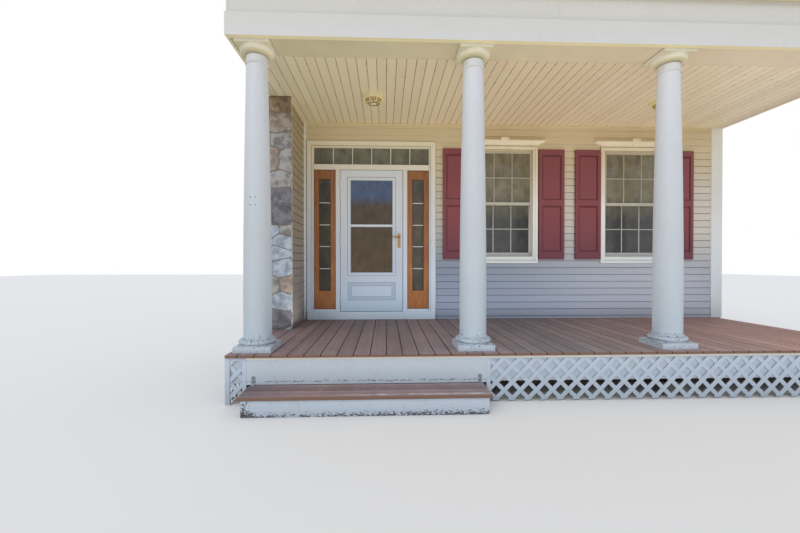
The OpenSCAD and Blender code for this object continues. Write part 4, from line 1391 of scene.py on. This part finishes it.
@dataclass
class Shingles(Assembly):
    """Tabbed shingles with a metal drip edge, whose flange shows pale under the eave.

    Lip and flange are told by depth and height from the lower edge of the eave.
    """

    exposure: float = 0.127
    tab: float = 0.3
    slot: float = 0.006
    thick: float = 0.005
    reach: float = 0.194
    nose: float = 0.008
    eave: float = 0.03
    pitch: float = 14.0
    lip: tuple[Span, Span] = ((-0.006, 0.001), (-0.012, 0.032))
    flange: tuple[float, Span] = (0.0005, (-0.005, -0.001))
    edge_round: float = 0.0015

    def slope(self, left: float, right: float, back: float) -> Object:
        """Lays the rows of tabs up one straight-sided stretch of the roof.

        Args:
            left: Its left edge.
            right: Its right edge.
            back: The line where it meets the house.

        Returns:
            The stretch.
        """
        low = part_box("roof")[0]
        rise = math.tan(math.radians(self.pitch))
        step_y = self.exposure * math.cos(math.radians(self.pitch))
        step = (0.0, step_y, step_y * rise)
        width = self.tab + self.slot
        rows = []
        for odd in (0, 1):
            x, y = low[0] - odd * width / 2, low[1] + odd * step_y
            z = low[2] + self.eave + odd * step[2]
            tabs = block("shingles", (x, y - self.nose, z),
                         (x + self.tab, y + self.reach, z + self.thick))
            shift(tabs, (0, 0, self.reach * rise), lambda v: v.co.y > y)
            shift(tabs, (0, 0, self.thick), lambda v: v.co.y < y)
            repeat(tabs, math.ceil((right - x) / width), (width, 0, 0))
            repeat(tabs, math.ceil((back - low[1]) / step_y / 2), [2 * s for s in step])
            rows.append(tabs)
        stretch = join("roof_shingles", rows)
        trim(stretch, (left, 0, 0), (-1, 0, 0))
        trim(stretch, (right, 0, 0), (1, 0, 0))
        trim(stretch, (0, back, 0), (0, 1, 0))
        return stretch

    def edge(self) -> None:
        """Edges the eave with a lip and a flange that runs back to the fascia."""
        low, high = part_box("roof")
        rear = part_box("fascia_upper")[0][1] - low[1]
        edge = join("drip_edge", [
            block("edge", (low[0], low[1] + y[0], low[2] + z[0]),
                  (high[0], low[1] + y[1], low[2] + z[1]))
            for y, z in (self.lip, ((self.flange[0], rear), self.flange[1]))
        ])
        ease(edge, self.edge_round, steps=1)
        hand_over(edge, FASCIA)

    def roof(self) -> None:
        """Shingles the roof in front of and beside the side wall."""
        site = self.site
        low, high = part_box("roof")
        corner = site.left + site.stone_edge
        roof = join("roof_shingles", [
            self.slope(low[0], corner, site.wall + site.stone_face),
            self.slope(corner, high[0], site.wall),
        ])
        hand_over(roof, SHINGLE)

    def steps(self) -> tuple[Callable[[], None], ...]:
        """Names the roof and its edge."""
        return self.roof, self.edge


@dataclass
class GlazingBars(Assembly):
    """Slim bars that divide the glass into small lights.

    The sashes' panes are told by their depth behind the wall face and their edges above the deck.
    """

    bar: float = 0.012
    proud: float = 0.009
    arris: float = 0.004
    pane_half: float = 0.403
    sashes: tuple[tuple[float, Span], ...] = ((0.022, (1.7165, 2.438)), (0.07, (0.973, 1.6765)))
    unit_glass: float = 0.017
    transom: tuple[Span, Span] = ((0.3755, 2.0445), (2.244, 2.487))
    lights: int = 6
    levels: tuple[float, ...] = (0.735, 1.057, 1.371, 1.692)

    def grid(
        self, x: Span, z: Span, y: float, uprights: Sequence[float], levels: Sequence[float]
    ) -> Object:
        """Lays a grid of bars over one pane.

        Args:
            x: The pane's sides, from the left deck edge.
            z: Its lower and upper edge, above the deck.
            y: Its face, behind the wall face.
            uprights: Place of each upright bar, as a share of the pane's width.
            levels: Height of each level bar above the deck.

        Returns:
            The bars as one object.
        """
        half, depth = self.bar / 2, (y - self.proud, y)
        middles = [x[0] + share * (x[1] - x[0]) for share in uprights]
        spans = [((m - half, m + half), z) for m in middles]
        spans += [(x, (level - half, level + half)) for level in levels]
        front = self.site.wall + y - self.proud / 2
        bars = []
        for across, up in spans:
            bar = block("bar", *self.site.box(across, depth, self.site.above_deck(up)))
            ease(bar, self.arris, lambda e: all(v.co.y < front for v in e.verts)
                 and e.calc_length() > 2 * self.bar)
            bars.append(bar)
        return join("bars", bars)

    def windows(self) -> None:
        """Divides each sash into three by two lights."""
        parts = []
        for middle in self.site.window_middles:
            x = (middle - self.pane_half, middle + self.pane_half)
            for glass, z in self.sashes:
                parts.append(self.grid(x, z, glass, (1 / 3, 2 / 3), (sum(z) / 2,)))
        hand_over(join("window_bars", parts), WINDOW)

    def door_unit(self) -> None:
        """Divides the transom into six lights and each sidelight into five."""
        x, z = self.transom
        uprights = [k / self.lights for k in range(1, self.lights)]
        parts = [self.grid(x, z, self.unit_glass, uprights, ())]
        x, z = self.site.sidelight_glass
        for left in self.site.sidelights:
            sides = (left + x[0], left + x[1])
            parts.append(self.grid(sides, z, self.unit_glass, (), self.levels))
        hand_over(join("door_unit_bars", parts), TRIM)

    def steps(self) -> tuple[Callable[[], None], ...]:
        """Names the windows and the door unit."""
        return self.windows, self.door_unit


def inner(span: Span, margin: float) -> Span:
    """Draws both ends of a span in by a margin."""
    return span[0] + margin, span[1] - margin


@dataclass
class SealsAndShadowLines(Assembly):
    """Lines of sealant, gasket and dark stain round the casings, the glass and the panels, which
    are also painted shadow lines where the parts meet.

    Outlines are told by how far they lie inside the sides, foot and head of what they are on,
    and those of the door's panels by both their heights above its foot.
    """

    line: float = 0.007
    proud: float = 0.001
    arris: float = 0.0004
    casing_face: Span = (-0.025, -0.024)
    siding_face: Span = (-0.0165, -0.0005)
    crosshead_face: Span = (-0.029, -0.028)
    frame_face: float = -0.014
    casing_top: float = 2.585
    casing_w: float = 0.069
    door_z: Span = (0.11, 2.516)
    crosshead_gap: float = 0.009
    frame: tuple[float, Span] = (0.07, (0.092, 0.056))
    sidelight_w: float = 0.315
    sidelight_z: Span = (0.146, 2.168)
    skin: float = 0.004
    panel_depth: float = 0.008
    moulding: tuple[float, Span] = (0.106, (0.522, 0.105))
    glass: tuple[float, Span] = (0.146, (0.562, 0.145))
    panels: tuple[tuple[float, Span], ...] = ((0.105, (0.16, 0.42)), (0.16, (0.215, 0.365)))

    def strip(self, x: Span, z: Span, y: Span) -> Object:
        """Lays one strip, measured from the left deck edge, the ground and the wall face."""
        return block("strip", *self.site.box(x, y, z))

    def outline(self, x: Span, z: Span, face: float, outside: bool = False) -> list[Object]:
        """Lays four strips along the edges of a rectangle.

        Args:
            x: Its left and right edge.
            z: Its lower and upper edge.
            face: The surface that they lie on.
            outside: Whether they lie round the rectangle and not within it.

        Returns:
            The strips.
        """
        if outside:
            x, z = inner(x, -self.line), inner(z, -self.line)
        y, middle = (face - self.proud, face), inner(x, self.line)
        return [
            self.strip((x[0], middle[0]), z, y),
            self.strip((middle[1], x[1]), z, y),
            self.strip(middle, (z[0], z[0] + self.line), y),
            self.strip(middle, (z[1] - self.line, z[1]), y),
        ]

    def finish(self, name: str, strips: list, finish: Finish, slot: str, body: str = BODY) -> None:
        """Joins strips to one piece with eased edges and hands it over.

        Args:
            name: Name of the piece.
            strips: The strips.
            finish: The piece's surface finish.
            slot: Not used.
            body: The body that carries it.
        """
        piece = join(name, strips)
        ease(piece, self.arris, steps=1)
        hand_over(piece, finish, body)

    def arch(self, x: Span, z: Span, y: Span) -> list[Object]:
        """Lays a strip up each side of a doorway and one over it, all outside its edges."""
        line = self.line
        return [
            self.strip((x[0] - line, x[0]), z, y),
            self.strip((x[1], x[1] + line), z, y),
            self.strip((x[0] - line, x[1] + line), (z[1], z[1] + line), y),
        ]

    def casings(self) -> None:
        """Seals the casings of the door unit and of the windows to the siding; the strips also
        paint shadow lines.
        """
        site, line = self.site, self.line
        strips = self.arch(site.casing, site.above_deck((0.0, self.casing_top)), self.siding_face)
        # Dark lines just inside the door casing: sealant and painted shadow line.
        x, z = inner(site.casing, self.casing_w), site.above_deck(self.door_z)
        strips += [
            self.strip((x[0], x[0] + line), z, self.casing_face),
            self.strip((x[1] - line, x[1]), z, self.casing_face),
            self.strip(inner(x, line), (z[1] - line, z[1]), self.casing_face),
        ]
        side, (foot, head) = self.frame
        for x, z in site.windows():
            for left in (x[0] - line, x[1]):
                strips.append(self.strip((left, left + line), z, self.siding_face))
            # Painted shadow: a dark strip in the gap under each crosshead, and dark lines round
            # each window frame.
            gap = (z[1] - self.crosshead_gap, z[1])
            strips.append(self.strip(inner(x, line), gap, self.crosshead_face))
            strips += self.outline(inner(x, side), (z[0] + foot, z[1] - head), self.frame_face)
        self.finish("casing_seals_and_shadow_lines", strips, SEALANT_AND_SHADOW_LINE, "trim")

    def sidelights(self) -> None:
        """Darkens the edges of the two wood frames beside the door: stain and painted shadow lines.
        """
        site = self.site
        x, z = site.sidelight_glass
        strips = []
        for left in site.sidelights:
            frame = site.above_deck(self.sidelight_z)
            strips += self.outline((left, left + self.sidelight_w), frame, 0.0)
            glass = (left + x[0], left + x[1])
            strips += self.outline(glass, site.above_deck(z), 0.0, outside=True)
        self.finish("sidelight_edges", strips, EDGE_STAIN_AND_SHADOW, "sidelight_wood")

    def storm_door(self) -> None:
        """Lines the moulding, the glass and the kick panel of the storm door with gaskets and
        painted shadow lines.
        """
        low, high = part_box("storm_door")
        x = (low[0] - self.site.left, high[0] - self.site.left)
        face = low[1] - self.site.wall + self.skin
        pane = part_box("storm_glass")[0][1] - self.site.wall
        strips = []
        for (side, (foot, head)), y, outside in (
            (self.moulding, face, True), (self.glass, pane, False)
        ):
            z = (low[2] + foot, high[2] - head)
            strips += self.outline(inner(x, side), z, y, outside)
        for (side, (foot, head)), outside in zip(self.panels, (False, True)):
            z = (low[2] + foot, low[2] + head)
            strips += self.outline(inner(x, side), z, face + self.panel_depth, outside)
        self.finish("storm_gaskets_and_shadow_lines", strips, GASKET_AND_SHADOW_LINE, "storm_paint", STORM)

    def steps(self) -> tuple[Callable[[], None], ...]:
        """Names the casings, the sidelights and the storm door."""
        return self.casings, self.sidelights, self.storm_door


@dataclass
class Fixings(Assembly):
    """Screw heads in the deck, the step, its straps and one column, and the bead on the rim."""

    radius: float = 0.004
    large: float = 0.0055
    proud: float = 0.001
    joists: float = 0.46
    joist_rows: tuple[tuple[float, int], ...] = ((-0.939, 3), (-0.019, 2))
    pair: float = 0.045
    gap: float = 0.006
    tread_shares: tuple[float, ...] = (0.12, 0.38, 0.62, 0.88)
    tread_end: float = 0.05
    tread_rows: int = 5
    strap_half: float = 0.0175
    strap_holes: Span = (0.027, 0.058)
    strap_thick: float = 0.003
    plate_x: Span = (0.18, 0.223)
    plate_z: Span = (1.794, 1.865)
    ahead: float = -3.0
    recess: Span = (0.5, 0.1)
    bead: float = 0.006
    bead_h: float = 0.022
    bead_round: float = 0.005

    def head(self, spot: Point, radius: float, flat: bool) -> Object:
        """Turns one screw head with a driver recess.

        Args:
            spot: The middle of its seat.
            radius: Its radius.
            flat: Whether it looks up, and otherwise to the front.

        Returns:
            The head.
        """
        out = Vector((0, 0, 1)) if flat else Vector((0, -1, 0))
        bpy.ops.object.select_all(action="DESELECT")
        bpy.ops.mesh.primitive_cylinder_add(
            vertices=8, radius=radius, depth=2 * self.proud, location=spot,
            rotation=(0.0 if flat else math.pi / 2, 0.0, 0.0),
        )
        bpy.ops.object.transform_apply(location=True, rotation=True, scale=True)
        head = bpy.context.object
        with editing(head):
            pick(head, Part.FACE, lambda f: f.normal.dot(out) > 0.9)
            bpy.ops.mesh.inset(thickness=radius * self.recess[0], depth=0.0)
            bpy.ops.mesh.inset(thickness=radius * self.recess[1], depth=-self.proud)
        return head

    def deck(self) -> None:
        """Screws each deck board down at each joist."""
        site = self.site
        right = site.deck_w - (BOARD - self.gap) / 2
        rows = []
        for (back, count), left in zip(self.joist_rows, (0.0, site.stone_edge)):
            for side in (-self.pair, self.pair):
                boards = math.floor((right + side - left - 3 * self.radius) / BOARD) + 1
                row = self.head(site.at(right + side, back, site.deck), self.radius, True)
                repeat(row, boards, (-BOARD, 0, 0))
                repeat(row, count, (0, -self.joists, 0))
                rows.append(row)
        hand_over(join("deck_screws", rows), SCREW)

    def step(self) -> None:
        """Screws down the two step boards and the straps behind them."""
        low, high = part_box("step_treads")
        span = (high[0] - low[0] - 2 * self.tread_end) / (self.tread_rows - 1)
        heads = []
        for share in self.tread_shares:
            y = low[1] + share * (high[1] - low[1])
            row = self.head((low[0] + self.tread_end, y, high[2]), self.radius, True)
            repeat(row, self.tread_rows, (span, 0, 0))
            heads.append(row)
        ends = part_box("step_straps")
        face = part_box("step_upper_riser")[0][1] - self.strap_thick
        for x in (ends[0][0] + self.strap_half, ends[1][0] - self.strap_half):
            for z in self.strap_holes:
                heads.append(self.head((x, face, ends[0][2] + z), self.large, False))
        hand_over(join("step_screws", heads), SCREW)

    def column(self) -> None:
        """Leaves the four screws of a lost plate in the front of the first column."""
        shaft = bpy.data.objects["column_1"]
        heads = []
        for x in self.plate_x:
            for z in self.plate_z:
                start = Vector(self.site.at(x, self.ahead, z))
                hit, spot, _, _ = shaft.ray_cast(start, Vector((0, 1, 0)))
                if hit:
                    heads.append(self.head(tuple(spot), self.large, False))
        hand_over(join("column_screws", heads), SCREW)

    def rim_bead(self) -> None:
        """Runs a small bead under the nosing, over the riser and the lattice."""
        left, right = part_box("step_upper_riser"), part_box("lattice_front")
        face, top = left[0][1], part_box("deck_floor")[0][2]
        bead = block("rim_bead", (left[0][0], face - self.bead, top - self.bead_h),
                     (right[1][0], face, top))
        ease(bead, self.bead_round, lambda e: all(
            v.co.y < face - self.bead / 2 and v.co.z < top - self.bead for v in e.verts
        ), 3)
        hand_over(bead, BEAD)

    def steps(self) -> tuple[Callable[[], None], ...]:
        """Names the screws of deck, step and column, and the bead."""
        return self.deck, self.step, self.column, self.rim_bead


@dataclass
class Stage(Assembly):
    """Camera, floor and light.

    Each fill is told by its middle, above the ground or the deck, its size and its power.
    """

    lens: float = 16.876
    sensor: float = 36.0
    far: float = 200.0
    stand: Point = (1.4124, -5.482, 1.2572)
    turn: float = 0.0384
    tilt: float = -0.0075
    floor_w: float = 80.0
    sky_tone: tuple[float, ...] = (0.680, 0.700, 0.734, 1.0)
    white: tuple[float, ...] = (1.0, 1.0, 1.0, 1.0)
    sun_power: float = 0.6
    sun_width: float = 25.0
    sun_turn: Point = (58.0, 0.0, -32.0)
    ground_fill: tuple[Point, Span, float] = ((3.2, -4.0, 0.03), (9.0, 2.6), 90.0)
    deck_fill: tuple[Point, Span, float] = ((3.3, -1.0, 0.04), (6.0, 1.3), 42.0)

    def place(self, name: str, data: bpy.types.ID, spot: Point, turn: Point) -> Object:
        """Puts a camera or lamp in the scene.

        Args:
            name: Name of the object.
            data: The camera or lamp.
            spot: Its place.
            turn: How it is turned about X, Y and Z.

        Returns:
            The object.
        """
        obj = bpy.data.objects.new(name, data)
        obj.location, obj.rotation_euler = spot, turn
        bpy.context.scene.collection.objects.link(obj)
        return obj

    def camera(self) -> None:
        """Puts the camera where the photograph was taken from."""
        data = bpy.data.cameras.new("camera")
        data.lens, data.sensor_width, data.clip_end = self.lens, self.sensor, self.far
        turn = (math.pi / 2 + self.tilt, 0.0, -self.turn)
        bpy.context.scene.camera = self.place("camera", data, self.site.at(*self.stand), turn)

    def floor(self) -> None:
        """Adds the pale floor."""
        bpy.ops.object.select_all(action="DESELECT")
        bpy.ops.mesh.primitive_plane_add(size=self.floor_w)
        floor = bpy.context.object
        floor.name = "studio_floor"
        floor.data.materials.append(Studio("studio_floor").material())

    def sky(self) -> None:
        """Adds an even sky that is plain white where it is seen or mirrored."""
        world = bpy.data.worlds.new("sky")
        world.use_nodes = True
        graph = Graph(world.node_tree, "Background")
        tones = {0: graph.seen(), 6: self.sky_tone, 7: self.white}
        graph.set(Color=graph.add("Mix", tones, 2, data_type="RGBA"), Strength=1.0)
        bpy.context.scene.world = world

    def sun(self) -> None:
        """Adds one soft lamp from the front left."""
        data = bpy.data.lights.new("sun", "SUN")
        data.energy = self.sun_power
        data.angle = math.radians(self.sun_width)
        self.place("sun", data, (0.0, 0.0, 0.0), tuple(map(math.radians, self.sun_turn)))

    def fill(self, name: str, base: float, middle: Point, size: Span, watts: float) -> None:
        """Adds a large soft lamp that looks up under the porch roof, itself unseen.

        Args:
            name: Name of the lamp.
            base: Height above ground that its own height is measured from.
            middle: Its middle.
            size: Its width and depth.
            watts: Its power.
        """
        data = bpy.data.lights.new(name, "AREA")
        data.shape = "RECTANGLE"
        data.size, data.size_y = size
        data.energy = watts
        spot = self.site.at(middle[0], middle[1], base + middle[2])
        lamp = self.place(name, data, spot, (math.pi, 0.0, 0.0))
        lamp.visible_camera = lamp.visible_glossy = False

    def fills(self) -> None:
        """Adds the light that comes back from the ground and from the deck."""
        self.fill("fill_ground", 0.0, *self.ground_fill)
        self.fill("fill_deck", self.site.deck, *self.deck_fill)

    def steps(self) -> tuple[Callable[[], None], ...]:
        """Names camera, floor, sky, sun and fills."""
        return self.camera, self.floor, self.sky, self.sun, self.fills


@dataclass
class Refinish:
    """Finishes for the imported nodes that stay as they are, and how wide their edges are eased."""

    frame: dict
    finishes: tuple[tuple[Finish, str], ...] = (
        (CONCRETE, "foundation pier_footings"), (CORNER, "corner_boards"), (SHADED_SKIRT, "rim_joists"),
        (PLASTER, "wall_* house_corner_wall"), (JOIST, "floor_joists pier_posts"),
        (RISER, "step_upper_riser"), (STEP_FACE, "step_frame"), (LATTICE, "lattice_*"),
        (STEEL, "step_straps entry_hinge_leaves"), (COLUMN, "column_*"),
        (SOFFIT, "front_beam end_beams"), (FASCIA, "fascia_* roof_cheeks"),
        (SHINGLE, "roof"), (LAMP_METAL, "lanterns"), (LAMP_GLASS, "lantern_glass"),
        (TRIM, "door_posts door_bars door_casing door_sill door_hinge_plates"),
        (OAK, "sidelights"), (SIDE_GLASS, "door_unit_glass"), (STORM_GLASS, "storm_glass"),
        (LEAF, "storm_door storm_hinge_leaves"), (BRASS, "storm_handle entry_knob"),
        (ENTRY_WOOD, "entry_door"), (CASING, "window_frames crossheads"),
        (WINDOW, "window_sashes"), (GLASS, "window_glass"), (SHUTTER, "shutters"),
        (BELL, "doorbell"),
    )
    eased: tuple[tuple[float, str], ...] = (
        (0.003, "corner_boards rim_joists step_upper_riser step_frame front_beam end_beams"),
        (0.003, "fascia_* roof_cheeks door_posts door_bars door_casing"),
        (0.003, "sidelights window_frames shutters"), (0.004, "door_sill entry_door"),
        (0.0015, "lattice_*"), (0.002, "window_sashes crossheads"), (0.0025, "storm_door"),
        (0.0007, "step_straps"), (0.001, "lanterns"),
    )

    def nodes(self, names: str) -> list[Object]:
        """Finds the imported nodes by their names, in which * stands for any ending."""
        nodes = self.frame["nodes"]
        return [nodes[found] for name in names.split() for found in fitting(nodes, name)]

    def ease_edges(self, obj: Object, width: float) -> None:
        """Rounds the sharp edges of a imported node, its own mesh left alone.

        Args:
            obj: The node.
            width: Width of the rounding.
        """
        weld = obj.modifiers.new("weld", "WELD")
        weld.merge_threshold = 0.00005
        bevel = obj.modifiers.new("rounding", "BEVEL")
        bevel.width = width
        bevel.segments = 2
        bevel.limit_method = "ANGLE"
        bevel.angle_limit = math.radians(25)

    def build(self) -> None:
        """Assigns each node its finish and eases its edges."""
        for finish, names in self.finishes:
            for node in self.nodes(names):
                for slot in node.material_slots:
                    slot.material = finish.material()
                LOG.info("%s: packed node, %s", node.name, finish.name)
        for width, names in self.eased:
            for node in self.nodes(names):
                self.ease_edges(node, width)


def main() -> None:
    """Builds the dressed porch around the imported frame."""
    logging.basicConfig(level=logging.INFO, format="%(message)s")
    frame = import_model()
    bpy.context.scene.view_settings.view_transform = "Standard"
    site = Site.read()
    for part in (
        Stage(site), Refinish(frame), LapSiding(site), StoneFacing(site), DeckBoards(site),
        CeilingBoards(site), Shingles(site), GlazingBars(site), SealsAndShadowLines(site), Fixings(site),
    ):
        part.build()


if __name__ == "__main__":
    main()
